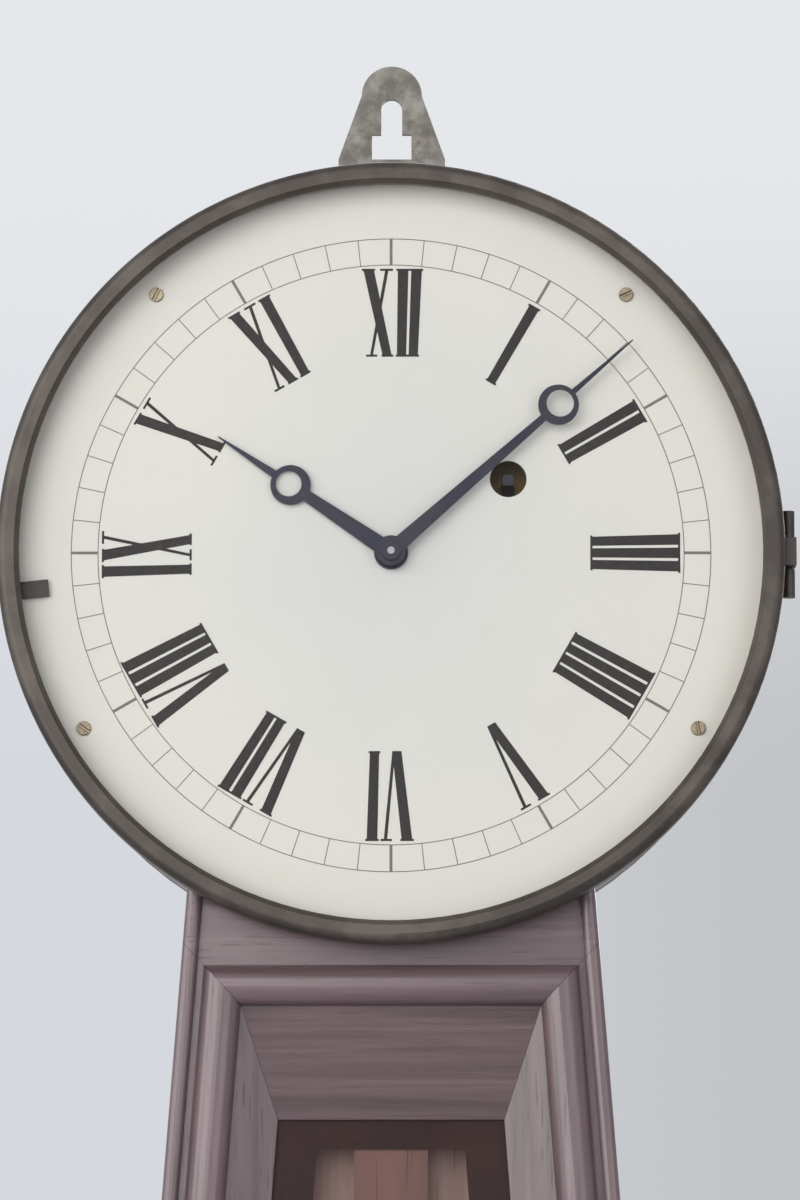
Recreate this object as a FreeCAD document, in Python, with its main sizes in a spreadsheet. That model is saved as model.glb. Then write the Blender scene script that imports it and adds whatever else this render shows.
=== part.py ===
import FreeCAD, Part
import Sketcher
import math
import os

# A weight driven regulator wall clock with a round head, a flared throat and a box below.
# Depths are counted from the wall towards the front, drops from the dial centre downwards.
# The origin is the axis of the hook that carries the clock, at the wall.

SIZES = {
    # Hanger
    "hook_rise": 49,
    "hook_slot_width": 9,
    "hanger_width": 46,
    "hanger_head_width": 26,
    "hanger_crown": 19,
    "hanger_thick": 3,
    "hanger_tail": 119,
    "slot_length": 11,
    "slot_foot_width": 17,
    "slot_foot_height": 11,
    "hanger_screw_head": 9,
    "hanger_screw_shank": 4,
    "hanger_screw_length": 10,
    # Case boards
    "board_thick": 12,
    "side_thick": 8,
    "steady_hole": 5,
    "steady_head": 10,
    "steady_sink": 3,
    "joint_gap": 0.2,
    "overrun": 5,
    "head_overlap": 5,
    "screw_end_gap": 1,
    # Head
    "drum_radius": 158,
    "drum_wall": 8,
    "drum_depth": 80,
    "drum_flange_width": 20,
    "drum_flange_thick": 12,
    "dial_edge": 3,
    "dial_thick": 1.2,
    "dial_hole": 12,
    "winding_x": 48.3,
    "winding_rise": 30.8,
    "winding_hole": 15.2,
    "dial_screw_inset": 7.1,
    "dial_screw_head": 6,
    "dial_screw_rise": 1.2,
    "dial_screw_shank": 2.6,
    "dial_screw_length": 10,
    "bezel_overhang": 3.5,
    "bezel_face": 9.1,
    "bezel_depth": 14,
    "bezel_gap": 0.6,
    "bezel_round": 3.5,
    "glass_thick": 2,
    "glass_clear": 0.3,
    "glass_setback": 4,
    "catch_height": 7,
    "catch_reach": 11,
    "catch_thick": 1.6,
    "catch_prong": 3,
    "catch_tongue": 7,
    "catch_clear": 0.9,
    # Throat
    "throat_top_width": 169,
    "throat_tuck": 7,
    "throat_foot_width": 238,
    "throat_length": 442,
    "frame_back_depth": 75,
    "frame_base_thick": 9,
    "half_round_width": 16.7,
    "half_round_height": 8,
    "half_round_curve": 7.6,
    "bead_width": 6.6,
    "bead_height": 4.5,
    "bead_curve": 2.6,
    "quirk_width": 2.6,
    "side_splay": 18.5,
    "top_splay": 46,
    "frame_top_gap": 1.8,
    "sight_rest": 2.4,
    "glass_lap": 5,
    # Baffle and weight channel
    "baffle_depth": 52,
    "baffle_thick": 4,
    "baffle_top_drop": 152,
    "baffle_lift": 50,
    # Box
    "box_width": 330,
    "box_height": 300,
    "box_board": 14,
    "box_side_thick": 10,
    "box_depth": 100,
    "cornice_reach": 10,
    "cornice_curve": 5,
    "door_gap": 1,
    "door_base_thick": 11,
    "door_splay": 18.5,
    # Hinges
    "leaf_thick": 1.4,
    "leaf_height": 36,
    "leaf_depth": 20,
    "knuckle_radius": 2.5,
    "hinge_pin_radius": 1.3,
    "hinge_run": 0.06,
    "knuckle_gap": 0.25,
    "hinge_inset": 60,
    "bezel_pin_depth": 88,
    # Door turn catch
    "turn_knob_radius": 7,
    "turn_neck_radius": 4.2,
    "turn_knob_rise": 9,
    "turn_shaft_radius": 2.5,
    "turn_run": 0.08,
    "turn_gap": 6,
    "mortise_depth": 4,
    "mortise_clear": 0.6,
    "turn_tongue_width": 8,
    "turn_tongue_thick": 2.5,
    # Movement frame
    "plate_left": 50,
    "plate_right": 80,
    "plate_top": 103,
    "plate_foot": 60,
    "plate_thick": 2.5,
    "back_plate_depth": 20,
    "plate_space": 37,
    "plate_corner": 6,
    "pillar_inset": 8,
    "pillar_radius": 4,
    "pillar_stub": 2.2,
    "pillar_nut_radius": 4.6,
    "pillar_nut_height": 3,
    "pillar_anchor": 8,
    "spacer_radius": 5.5,
    "pivot_radius": 1,
    "arbor_radius": 1.5,
    "pivot_run": 0.05,
    "line_post_drop": 50,
    "line_post_radius": 2,
    # Going train
    "pallet_rise": 64,
    "great_module": 0.8426,
    "centre_module": 0.7,
    "third_module": 0.6,
    "wheel_thick": 1.5,
    "great_thick": 2.5,
    "great_wheel_depth": 25,
    "centre_wheel_depth": 36,
    "third_wheel_depth": 44,
    "escape_wheel_depth": 51,
    "escape_radius": 16,
    "escape_tooth": 2.4,
    "pallet_clear": 1,
    "pallet_thick": 3,
    "pallet_band": 2,
    "pinion_margin": 1.2,
    "wheel_rim": 4,
    "wheel_hub": 5,
    "spoke_width": 3,
    "fit": 0.02,
    # Barrel and winding work
    "barrel_radius": 11.2,
    "barrel_flange": 16,
    "barrel_flange_thick": 1.5,
    "barrel_back_depth": 33,
    "barrel_front_depth": 57,
    "winding_arbor_radius": 4,
    "winding_pivot_radius": 3.2,
    "winding_square": 4.4,
    "winding_square_front": 90,
    "ratchet_radius": 13,
    "ratchet_thick": 3,
    "ratchet_depth": 28.5,
    "ratchet_tooth": 1.6,
    "click_pivot": 24,
    "click_thick": 2.4,
    "click_width": 4,
    "click_hub": 3,
    "click_clear": 0.5,
    "click_pin_radius": 1.2,
    "spring_foot_reach": 10,
    "spring_foot_width": 4,
    "spring_end_gap": 2.4,
    "spring_thick": 0.6,
    # Weight
    "line_radius": 0.75,
    "line_gap": 0.1,
    "line_depth": 36,
    "pulley_groove": 12.5,
    "pulley_radius": 15,
    "pulley_width": 5,
    "pulley_drop": 92,
    "pulley_pin_radius": 1.5,
    "stirrup_thick": 1.6,
    "stirrup_gap": 0.5,
    "stirrup_bar_gap": 2,
    "stirrup_width": 8,
    "stirrup_drop": 32,
    "weight_height": 150,
    "weight_width": 64,
    "weight_depth": 26,
    "weight_curve": 4,
    # Pendulum
    "pendulum_depth": 70,
    "cock_width": 18,
    "cock_height": 12,
    "cock_leg": 6.6,
    "cock_gap": 0.3,
    "spring_strip_thick": 0.25,
    "spring_strip_width": 6.5,
    "spring_drop": 18,
    "spring_grip": 8,
    "stem_width": 8,
    "stem_thick": 6.5,
    "keystone_inner": 9,
    "keystone_outer": 13,
    "keystone_tail": 40,
    "tail_grip": 12,
    "rod_width": 30,
    "rod_thick": 7,
    "bob_rod_gap": 7,
    "bob_box_drop": 157,
    "bob_radius": 60,
    "bob_thick": 20,
    "bob_edge": 4,
    "rating_radius": 2.5,
    "rating_grip": 20,
    "rating_tail": 34,
    "rating_run": 0.1,
    "nut_radius": 9,
    "nut_height": 7,
    "nut_shoulder": 6.3,
    # Crutch
    "crutch_depth": 63.2,
    "crutch_thick": 2,
    "crutch_hub": 4,
    "crutch_width": 4,
    "crutch_drop": 39,
    "crutch_pin_radius": 1.5,
    "crutch_clear": 0.25,
    # Motion work and hands
    "stud_reach": 21,
    "stud_radius": 1.6,
    "cannon_radius": 3,
    "cannon_depth": 77,
    "cannon_leaves_width": 3.5,
    "minute_wheel_depth": 78,
    "minute_pinion_width": 6.5,
    "hour_wheel_depth": 83.5,
    "hour_pipe_radius": 4.4,
    "hour_pipe_front": 95.6,
    "hand_thick": 0.8,
    "hand_boss": 2,
    "hour_hand_boss_radius": 7,
    "hour_hand_length": 86,
    "hour_ring_reach": 50,
    "hour_ring_radius": 8.3,
    "hour_ring_hole": 5.3,
    "hour_stem_root": 7.4,
    "hour_stem_tip": 4.2,
    "minute_hand_boss_radius": 6,
    "minute_hand_length": 133,
    "minute_ring_reach": 92,
    "minute_ring_radius": 8.4,
    "minute_ring_hole": 5.6,
    "minute_stem_root": 6.4,
    "minute_stem_tip": 2.8,
    "hand_point": 0.5,
    "hand_eye": 0.9,
    "hand_nut_radius": 4,
    "hand_nut_height": 1.6,
}

# Counts, angles in degrees and shares
GREAT_TEETH = 128
CENTRE_TEETH = 66
THIRD_TEETH = 64
PINION_LEAVES = 8
ESCAPE_TEETH = 30
CANNON_LEAVES = 12
MINUTE_TEETH = 36
MINUTE_LEAVES = 10
HOUR_TEETH = 40
RATCHET_TEETH = 24
HOUR_HAND_ANGLE = 304.05
MINUTE_HAND_ANGLE = 48.6
DIAL_SCREW_ANGLES = (42, 120, 240, 318)
CATCH_ANGLE = 264
PALLET_TILT = 30
STUD_ANGLE = 270
CLICK_ANGLE = 300
tooth_root_share = 0.50
tooth_pitch_share = 0.42
tooth_tip_share = 0.14
leaf_root_share = 0.30
leaf_pitch_share = 0.30
leaf_tip_share = 0.12
wheel_addendum_share = 1.15
wheel_dedendum_share = 1.5
leaf_addendum_share = 0.7
leaf_dedendum_share = 1.85
ratchet_gap_share = 0.8
click_tip_across_share = 0.55
click_tip_up_share = 0.84
escape_tip_share = 0.86
escape_root_share = 0.55
pallet_outline_shares = ((1.7, 2.2), (1.4, -0.2), (0, 0), (0.4, 1.6))

document = FreeCAD.newDocument("RegulatorWallClock")
sheet = document.addObject("Spreadsheet::Sheet", "Sizes")


class Size:
    """A value together with the sheet expression that gives it."""

    def __init__(self, value, text):
        self.value = float(value)
        self.text = text

    @staticmethod
    def of(other):
        return other if isinstance(other, Size) else Size(other, repr(other))

    def __add__(self, other):
        other = Size.of(other)
        return Size(self.value + other.value, f"({self.text} + {other.text})")

    def __sub__(self, other):
        other = Size.of(other)
        return Size(self.value - other.value, f"({self.text} - {other.text})")

    def __mul__(self, other):
        other = Size.of(other)
        return Size(self.value * other.value, f"({self.text} * {other.text})")

    def __truediv__(self, other):
        other = Size.of(other)
        return Size(self.value / other.value, f"({self.text} / {other.text})")

    def __neg__(self):
        return Size(-self.value, f"(0 - {self.text})")

    __rmul__ = __mul__

    def root(self):
        return Size(math.sqrt(self.value), f"sqrt({self.text})")


class Sheet:
    """The named sizes, each bound to its own cell."""

    def __init__(self, sizes):
        for row, (name, value) in enumerate(sizes.items(), 1):
            sheet.set(f"A{row}", name)
            sheet.set(f"B{row}", str(value))
            sheet.setAlias(f"B{row}", name)
            setattr(self, name, Size(value, f"Sizes.{name}"))


s = Sheet(SIZES)
document.recompute()
ZERO = Size(0, "0")
parts = []


def leg(long_side, short_side):
    """The other leg of a right triangle, from its longest side and one leg."""
    return (long_side * long_side - short_side * short_side).root()


def plane(body, role):
    return next(item for item in body.Origin.OriginFeatures if item.Role == role)


def put(thing, x=ZERO, depth=ZERO, z=ZERO, clock_angle=0):
    """Sets a placement: x to the right, depth from the wall, z up, turned clockwise."""
    turn = FreeCAD.Rotation(FreeCAD.Vector(0, 1, 0), clock_angle)
    thing.Placement = FreeCAD.Placement(FreeCAD.Vector(0, 0, 0), turn)
    thing.setExpression("Placement.Base.x", x.text)
    thing.setExpression("Placement.Base.y", (-depth).text)
    thing.setExpression("Placement.Base.z", z.text)


def new_body(label, x=ZERO, z=ZERO, clock_angle=0, depth=ZERO, kept=True):
    body = document.addObject("PartDesign::Body", label)
    body.Label = label
    put(body, x, depth, z, clock_angle)
    if kept:
        parts.append(body)
    return body


def new_sketch(body, role="XZ_Plane", offset=ZERO, turn=0):
    """A sketch on an origin plane. On XZ_Plane the offset is a depth from the wall."""
    drawing = body.newObject("Sketcher::SketchObject", "Sketch")
    drawing.AttachmentSupport = (plane(body, role), [""])
    drawing.MapMode = "FlatFace"
    turned = FreeCAD.Rotation(FreeCAD.Vector(0, 0, 1), turn)
    drawing.AttachmentOffset = FreeCAD.Placement(FreeCAD.Vector(0, 0, 0), turned)
    drawing.setExpression("AttachmentOffset.Base.z", offset.text)
    return drawing


def bind(drawing, kind, places, size):
    number = drawing.addConstraint(Sketcher.Constraint(kind, *places, size.value))
    drawing.setExpression(f"Constraints[{number}]", size.text)


def outline(drawing, points):
    """A closed outline through (x, y) points. A third entry is the radius of the arc that
    leads on to the next point, positive when it bulges to the right of that way."""
    first = drawing.GeometryCount
    count = len(points)
    spots = [FreeCAD.Vector(point[0].value, point[1].value, 0) for point in points]
    for index, point in enumerate(points):
        start = spots[index]
        end = spots[(index + 1) % count]
        if len(point) == 2:
            drawing.addGeometry(Part.LineSegment(start, end), False)
            continue
        radius = point[2].value
        chord = end - start
        rise = abs(radius) - math.sqrt(max(radius * radius - chord.Length ** 2 / 4, 0))
        side = FreeCAD.Vector(chord.y, -chord.x, 0).normalize()
        middle = (start + end) / 2 + side * math.copysign(rise, radius)
        curve = Part.Arc(start, middle, end) if radius > 0 else Part.Arc(end, middle, start)
        drawing.addGeometry(curve, False)
    clockwise = [len(point) == 3 and point[2].value < 0 for point in points]
    tips = [(2, 1) if backwards else (1, 2) for backwards in clockwise]
    for index, point in enumerate(points):
        edge = first + index
        after = (index + 1) % count
        joined = (edge, tips[index][1], first + after, tips[after][0])
        drawing.addConstraint(Sketcher.Constraint("Coincident", *joined))
        bind(drawing, "DistanceX", (-1, 1, edge, tips[index][0]), point[0])
        bind(drawing, "DistanceY", (-1, 1, edge, tips[index][0]), point[1])
    for index, point in enumerate(points):
        if len(point) == 2:
            continue
        target = points[(index + 1) % count]
        chord = spots[(index + 1) % count] - spots[index]
        half_turn = abs(abs(point[2].value) * 2 - chord.Length) < 1e-6
        if half_turn and abs(chord.x) > abs(chord.y):
            bind(drawing, "DistanceY", (-1, 1, first + index, 3), (point[1] + target[1]) / 2)
        elif half_turn:
            bind(drawing, "DistanceX", (-1, 1, first + index, 3), (point[0] + target[0]) / 2)
        else:
            reach = point[2] if point[2].value > 0 else -point[2]
            bind(drawing, "Radius", (first + index,), reach)
    return drawing


def ring(drawing, radius, x=ZERO, y=ZERO):
    centre = FreeCAD.Vector(x.value, y.value, 0)
    number = drawing.addGeometry(Part.Circle(centre, FreeCAD.Vector(0, 0, 1), radius.value), False)
    bind(drawing, "DistanceX", (-1, 1, number, 3), x)
    bind(drawing, "DistanceY", (-1, 1, number, 3), y)
    bind(drawing, "Radius", (number,), radius)
    return drawing


def box_points(left, right, low, high):
    return [(left, low), (right, low), (right, high), (left, high)]


def pad(body, drawing, length):
    feature = body.newObject("PartDesign::Pad", "Pad")
    feature.Profile = drawing
    feature.setExpression("Length", length.text)
    document.recompute()
    return feature


def pocket(body, drawing, length=None, forward=False):
    """Cuts towards the wall from the sketch, or right through both ways."""
    before = body.Shape.Volume
    feature = body.newObject("PartDesign::Pocket", "Pocket")
    feature.Profile = drawing
    if length is None:
        feature.Type = 1
        feature.Midplane = True
    else:
        feature.Reversed = forward
        feature.setExpression("Length", length.text)
    document.recompute()
    if body.Shape.Volume >= before:
        raise RuntimeError(f"a cut in {body.Label} takes nothing away")
    return feature


def around(body, feature, drawing, count):
    """Repeats a cut or pad round the axis of its sketch."""
    pattern = body.newObject("PartDesign::PolarPattern", "Round")
    pattern.Originals = [feature]
    pattern.Axis = (drawing, ["N_Axis"])
    pattern.Angle = 360
    pattern.Occurrences = count
    body.Tip = pattern
    document.recompute()
    return pattern


def turned(body, points, role="XY_Plane"):
    """A solid turned from (radius, along) points: along is depth on XY_Plane, z on XZ_Plane."""
    if role == "XY_Plane":
        points = [(point[0], *(-value for value in point[1:])) for point in points]
    drawing = outline(new_sketch(body, role), points)
    feature = body.newObject("PartDesign::Revolution", "Turned")
    feature.Profile = drawing
    feature.ReferenceAxis = (drawing, ["V_Axis"])
    feature.Angle = 360
    document.recompute()
    return feature


def rod(body, steps):
    """Turned steps along the depth: (radius, from depth, to depth), one after the other."""
    points = [(ZERO, steps[0][1])]
    for radius, near, far in steps:
        points.append((radius, near))
        points.append((radius, far))
    points.append((ZERO, steps[-1][2]))
    return turned(body, points)


def fillet(body, feature, radius, wanted):
    """Rounds the edges for which wanted(edge) is true."""
    names = [f"Edge{i}" for i, edge in enumerate(feature.Shape.Edges, 1) if wanted(edge)]
    if not names:
        raise RuntimeError(f"no edge to round in {body.Label}")
    rounded = body.newObject("PartDesign::Fillet", "Fillet")
    rounded.Base = (feature, names)
    rounded.setExpression("Radius", radius.text)
    document.recompute()
    return rounded


def at_depth(depth, edge):
    """True for an edge that lies flat at that depth."""
    box = edge.BoundBox
    small = s.fit.value
    return abs(box.YMin + depth.value) < small and abs(box.YMax + depth.value) < small


def group(label, master, places):
    """One node of identical solids, each a copy of the master at (x, depth, z, angle)."""
    copies = []
    for x, depth, z, clock_angle in places:
        link = document.addObject("App::Link", f"{label}_copy")
        link.LinkedObject = master
        link.LinkTransform = False
        put(link, x, depth, z, clock_angle)
        copies.append(link)
    bunch = document.addObject("Part::Compound", label)
    bunch.Label = label
    bunch.Links = copies
    document.recompute()
    parts.append(bunch)
    return bunch


def on_circle(radius, clock_angle):
    """x and z of a point on a circle round the origin, at a clock angle."""
    turn = math.radians(clock_angle)
    return radius * round(math.sin(turn), 9), radius * round(math.cos(turn), 9)


# Shared places

hang_rise = s.drum_radius + s.hook_rise
drum_flange_inner = s.drum_radius - s.drum_flange_width
dial_radius = s.drum_radius - s.dial_edge
bezel_radius = s.drum_radius + s.bezel_overhang
bezel_sight = bezel_radius - s.bezel_face
dial_screw_ring = bezel_sight - s.dial_screw_inset
throat_top_drop = s.drum_radius - s.throat_tuck
frame_top_drop = s.drum_radius + s.frame_top_gap
throat_drop = s.drum_radius + s.throat_length
bob_drop = throat_drop + s.bob_box_drop
rod_foot_drop = bob_drop - s.bob_radius - s.bob_rod_gap
weight_top_drop = s.pulley_drop + s.stirrup_drop
dial_z = -hang_rise
drum_front = s.board_thick + s.drum_depth
drum_inner = s.drum_radius - s.drum_wall
flange_back = drum_front - s.drum_flange_thick
dial_front = drum_front + s.dial_thick
bezel_back = dial_front + s.bezel_gap
bezel_front = bezel_back + s.bezel_depth
flare = (s.throat_foot_width - s.throat_top_width) / (throat_drop - throat_top_drop) / 2
box_half = s.box_width / 2
box_foot_drop = throat_drop + s.box_height
door_back = s.box_depth + s.door_gap
door_base_front = door_back + s.door_base_thick
door_front = door_base_front + s.half_round_height
door_top_drop = throat_drop + s.box_board + s.door_gap
door_foot_drop = box_foot_drop - s.box_board - s.door_gap
door_half = box_half - s.door_gap
moulding_width = s.bead_width + s.quirk_width + s.half_round_width
side_head_drop = leg(s.drum_radius, s.throat_top_width / 2) - s.head_overlap
turn_x = -(door_half - s.bead_width - s.quirk_width - s.half_round_width / 2)
turn_tongue_length = box_half - s.box_side_thick + turn_x + s.mortise_depth - s.mortise_clear
pin_reach = s.knuckle_radius + s.joint_gap


def at_drop(drop):
    return dial_z - drop


turn_z = at_drop((door_top_drop + door_foot_drop) / 2)


def throat_half(drop, inset=ZERO):
    """Half the width of the throat at a drop, less an inset."""
    return s.throat_top_width / 2 + flare * (drop - throat_top_drop) - inset


def trapezoid(top_drop, foot_drop, inset):
    """An outline that follows the flare of the throat."""
    top = throat_half(top_drop, inset)
    foot = throat_half(foot_drop, inset)
    high = at_drop(top_drop)
    low = at_drop(foot_drop)
    return [(-foot, low), (foot, low), (top, high), (-top, high)]


def throat_shape(inset, top_inset):
    return trapezoid(frame_top_drop + top_inset, throat_drop - inset, inset)


def door_shape(inset, top_inset):
    half = door_half - inset
    low = at_drop(door_foot_drop - inset)
    return box_points(-half, half, low, at_drop(door_top_drop + top_inset))


def bored(body, holes, offset=ZERO, length=None, forward=False):
    """Round holes along the depth: (radius, x, z) each."""
    drawing = new_sketch(body, offset=offset)
    for radius, x, z in holes:
        ring(drawing, radius, x, z)
    return pocket(body, drawing, length, forward)


def cut_under_drum(body):
    """Cuts the round underside of the head out of a piece of the throat."""
    return bored(body, [(s.drum_radius + s.joint_gap, ZERO, dial_z)])


# Movement places, from the dial centre

great_x = s.winding_x
great_z = s.winding_rise
pillar_spots = [
    (s.pillar_inset - s.plate_left, s.plate_top - s.pillar_inset),
    (s.plate_right - s.pillar_inset, s.plate_top - s.pillar_inset),
    (s.pillar_inset - s.plate_left, s.pillar_inset - s.plate_foot),
    (s.plate_right - s.pillar_inset, s.pillar_inset - s.plate_foot),
]
back_plate_front = s.back_plate_depth + s.plate_thick
front_plate_depth = back_plate_front + s.plate_space
front_plate_front = front_plate_depth + s.plate_thick
tilt_x, tilt_z = on_circle(s.escape_radius * 2 ** 0.5, 180 + PALLET_TILT)
escape_x = tilt_x
escape_z = s.pallet_rise + tilt_z
centre_distance = s.centre_module * (CENTRE_TEETH + PINION_LEAVES) / 2
third_distance = s.third_module * (THIRD_TEETH + PINION_LEAVES) / 2
escape_reach = (escape_x * escape_x + escape_z * escape_z).root()
along = (centre_distance * centre_distance - third_distance * third_distance
         + escape_reach * escape_reach) / escape_reach / 2
aside = leg(centre_distance, along)
third_x = (escape_x * along + (-escape_z) * aside) / escape_reach
third_z = (escape_z * along + escape_x * aside) / escape_reach
line_x = great_x - s.barrel_radius - s.line_radius - s.line_gap
pulley_x = line_x - s.pulley_groove - s.line_radius
fixed_line_x = pulley_x - s.pulley_groove - s.line_radius
cannon_module = s.stud_reach * 2 / (CANNON_LEAVES + MINUTE_TEETH)
hour_module = s.stud_reach * 2 / (MINUTE_LEAVES + HOUR_TEETH)
stud_x, stud_z = on_circle(s.stud_reach, STUD_ANGLE)
hanger_foot = s.hook_slot_width - s.hanger_tail
hanger_screw_x = s.hanger_width / 2 - s.hanger_screw_head
hanger_screw_spots = [
    (hanger_screw_x, hanger_foot + s.hanger_screw_head),
    (-hanger_screw_x, hanger_foot + s.hanger_screw_head),
    (ZERO, hanger_foot + s.hanger_screw_head * 3),
]
steady_x = box_half - s.box_side_thick - s.steady_head * 2
steady_z = at_drop(box_foot_drop - s.box_board - s.steady_head * 2)


def make_backboard():
    """One board behind the head, the throat and the box."""
    body = new_body("backboard")
    meet_half = throat_half(throat_top_drop)
    meet_z = dial_z - leg(s.drum_radius, meet_half)
    foot_half = throat_half(throat_drop)
    shoulder = at_drop(throat_drop)
    foot = at_drop(box_foot_drop)
    pad(body, outline(new_sketch(body), [
        (-box_half, foot),
        (box_half, foot),
        (box_half, shoulder),
        (foot_half, shoulder),
        (meet_half, meet_z, s.drum_radius),
        (ZERO, dial_z + s.drum_radius, s.drum_radius),
        (-meet_half, meet_z),
        (-foot_half, shoulder),
        (-box_half, shoulder),
    ]), s.board_thick)
    half = s.hanger_width / 2 + s.joint_gap
    low = hanger_foot - s.joint_gap
    recess = outline(new_sketch(body), box_points(-half, half, low, s.overrun))
    pocket(body, recess, s.hanger_thick + s.joint_gap, forward=True)
    shank = s.hanger_screw_shank / 2 + s.fit
    bored(body, [(shank, x, z) for x, z in hanger_screw_spots],
          s.hanger_thick, s.hanger_screw_length - s.hanger_thick + s.joint_gap, forward=True)
    bored(body, [(s.pillar_stub + s.fit, x, dial_z + z) for x, z in pillar_spots],
          s.board_thick, s.pillar_anchor)
    steady = [(-steady_x, steady_z), (steady_x, steady_z)]
    bored(body, [(s.steady_hole / 2, x, z) for x, z in steady])
    bored(body, [(s.steady_head / 2, x, z) for x, z in steady], s.board_thick, s.steady_sink)


def make_hanger():
    """A plate with an arched head and a keyhole slot, let into the back of the board."""
    body = new_body("hanger_plate")
    head = s.hanger_head_width / 2
    half = s.hanger_width / 2
    shoulder = s.hanger_crown - head
    waist = -(s.slot_length + s.slot_foot_height)
    pad(body, outline(new_sketch(body), [
        (-half, hanger_foot),
        (half, hanger_foot),
        (half, waist),
        (head, shoulder, head),
        (-head, shoulder),
        (-half, waist),
    ]), s.hanger_thick)
    slot = s.hook_slot_width / 2
    wide = s.slot_foot_width / 2
    pocket(body, outline(new_sketch(body), [
        (-wide, waist),
        (wide, waist),
        (wide, -s.slot_length),
        (slot, -s.slot_length),
        (slot, ZERO, slot),
        (-slot, ZERO),
        (-slot, -s.slot_length),
        (-wide, -s.slot_length),
    ]))
    shank = s.hanger_screw_shank / 2 + s.joint_gap
    sink = s.hanger_screw_head / 2 + s.joint_gap
    bored(body, [(shank, x, z) for x, z in hanger_screw_spots])
    bored(body, [(sink, x, z) for x, z in hanger_screw_spots], length=s.hanger_thick / 2, forward=True)


def make_hanger_screws():
    body = new_body("hanger_screw", kept=False)
    rod(body, [
        (s.hanger_screw_head / 2, s.fit, s.hanger_thick / 2),
        (s.hanger_screw_shank / 2, s.hanger_thick / 2, s.hanger_screw_length),
    ])
    group("hanger_screws", body, [(x, ZERO, z, 0) for x, z in hanger_screw_spots])


def catch_slot(body, front, length):
    """The slot behind the catch of the bezel, in a sketch turned to its clock angle."""
    drawing = new_sketch(body, offset=front, turn=-CATCH_ANGLE)
    half = s.catch_prong / 2 + s.catch_clear
    middle = bezel_sight - s.catch_tongue
    outline(drawing, box_points(-half, half, middle - half, middle + half))
    pocket(body, drawing, length)


def dial_screw_holes():
    holes = []
    for clock_angle in DIAL_SCREW_ANGLES:
        x, z = on_circle(dial_screw_ring, clock_angle)
        holes.append((s.dial_screw_shank / 2 + s.fit, x, z))
    return holes


leaf_floor = leg(s.drum_radius, s.leaf_height / 2 + s.joint_gap)
bezel_pin_x = bezel_radius + s.knuckle_radius
bezel_leaf_back = s.bezel_pin_depth - s.leaf_depth


def make_drum():
    """The round shell of the head, with a flange that carries the dial."""
    body = new_body("drum_shell", z=dial_z)
    turned(body, [
        (drum_inner, s.board_thick),
        (s.drum_radius, s.board_thick),
        (s.drum_radius, drum_front),
        (drum_flange_inner, drum_front),
        (drum_flange_inner, flange_back),
        (drum_inner, flange_back),
    ])
    half = throat_half(throat_top_drop, s.side_thick)
    low = -(s.drum_radius + s.overrun)
    mouth = box_points(-half, half, low, -drum_flange_inner)
    pocket(body, outline(new_sketch(body, offset=flange_back), mouth), s.drum_depth - s.drum_flange_thick)
    high = s.leaf_height / 2 + s.joint_gap
    seat = box_points(leaf_floor, s.drum_radius + s.overrun, -high, high)
    seat_depth = drum_front - bezel_leaf_back + s.joint_gap
    pocket(body, outline(new_sketch(body, offset=drum_front), seat), seat_depth)
    bored(body, dial_screw_holes(), drum_front, s.dial_screw_length)
    catch_slot(body, drum_front, s.catch_height + s.catch_clear)


def make_dial():
    body = new_body("dial_plate", z=dial_z)
    pad(body, ring(new_sketch(body, offset=drum_front), dial_radius), s.dial_thick)
    bored(body, [(s.dial_hole / 2, ZERO, ZERO), (s.winding_hole / 2, great_x, great_z)])
    bored(body, dial_screw_holes())
    catch_slot(body, dial_front, s.dial_thick)


def make_dial_screws():
    body = new_body("dial_screw", kept=False)
    length = s.dial_screw_length + s.dial_thick
    rod(body, [
        (s.dial_screw_shank / 2, s.screw_end_gap - length, ZERO),
        (s.dial_screw_head / 2, ZERO, s.dial_screw_rise),
    ])
    places = []
    for clock_angle in DIAL_SCREW_ANGLES:
        x, z = on_circle(dial_screw_ring, clock_angle)
        places.append((x, dial_front, dial_z + z, 0))
    group("dial_screws", body, places)


glass_front = bezel_front - s.glass_setback
glass_seat = bezel_sight + s.glass_setback / 2


def make_bezel():
    """The turned ring that holds the glass, with its hinge knuckle on the right."""
    body = new_body("bezel_ring", z=dial_z)
    turned(body, [
        (glass_seat, bezel_back),
        (bezel_radius, bezel_back),
        (bezel_radius, bezel_front - s.bezel_round, s.bezel_round),
        (bezel_radius - s.bezel_round, bezel_front),
        (bezel_sight + s.glass_thick, bezel_front),
        (bezel_sight, bezel_front - s.glass_thick),
        (bezel_sight, glass_front),
        (glass_seat, glass_front),
    ])
    third = s.leaf_height / 6 - s.knuckle_gap
    arm_front = bezel_back + s.knuckle_radius * 2
    inner = bezel_pin_x - s.knuckle_radius
    outer = bezel_pin_x + s.knuckle_radius
    tucked = bezel_radius - s.bezel_round
    pad(body, outline(new_sketch(body, "XY_Plane", -third), [
        (inner, -s.bezel_pin_depth),
        (outer, -s.bezel_pin_depth),
        (outer, -arm_front),
        (tucked, -arm_front),
        (tucked, -bezel_back),
        (inner, -bezel_back),
    ]), third * 2)
    knuckle = ring(new_sketch(body, "XY_Plane", -third), s.knuckle_radius, bezel_pin_x, -s.bezel_pin_depth)
    pad(body, knuckle, third * 2)
    bore = new_sketch(body, "XY_Plane", ZERO)
    ring(bore, s.hinge_pin_radius + s.hinge_run, bezel_pin_x, -s.bezel_pin_depth)
    pocket(body, bore)


def make_dial_glass():
    body = new_body("dial_glass", z=dial_z)
    disc = ring(new_sketch(body, offset=glass_front - s.glass_thick), glass_seat - s.glass_clear)
    pad(body, disc, s.glass_thick)


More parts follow.
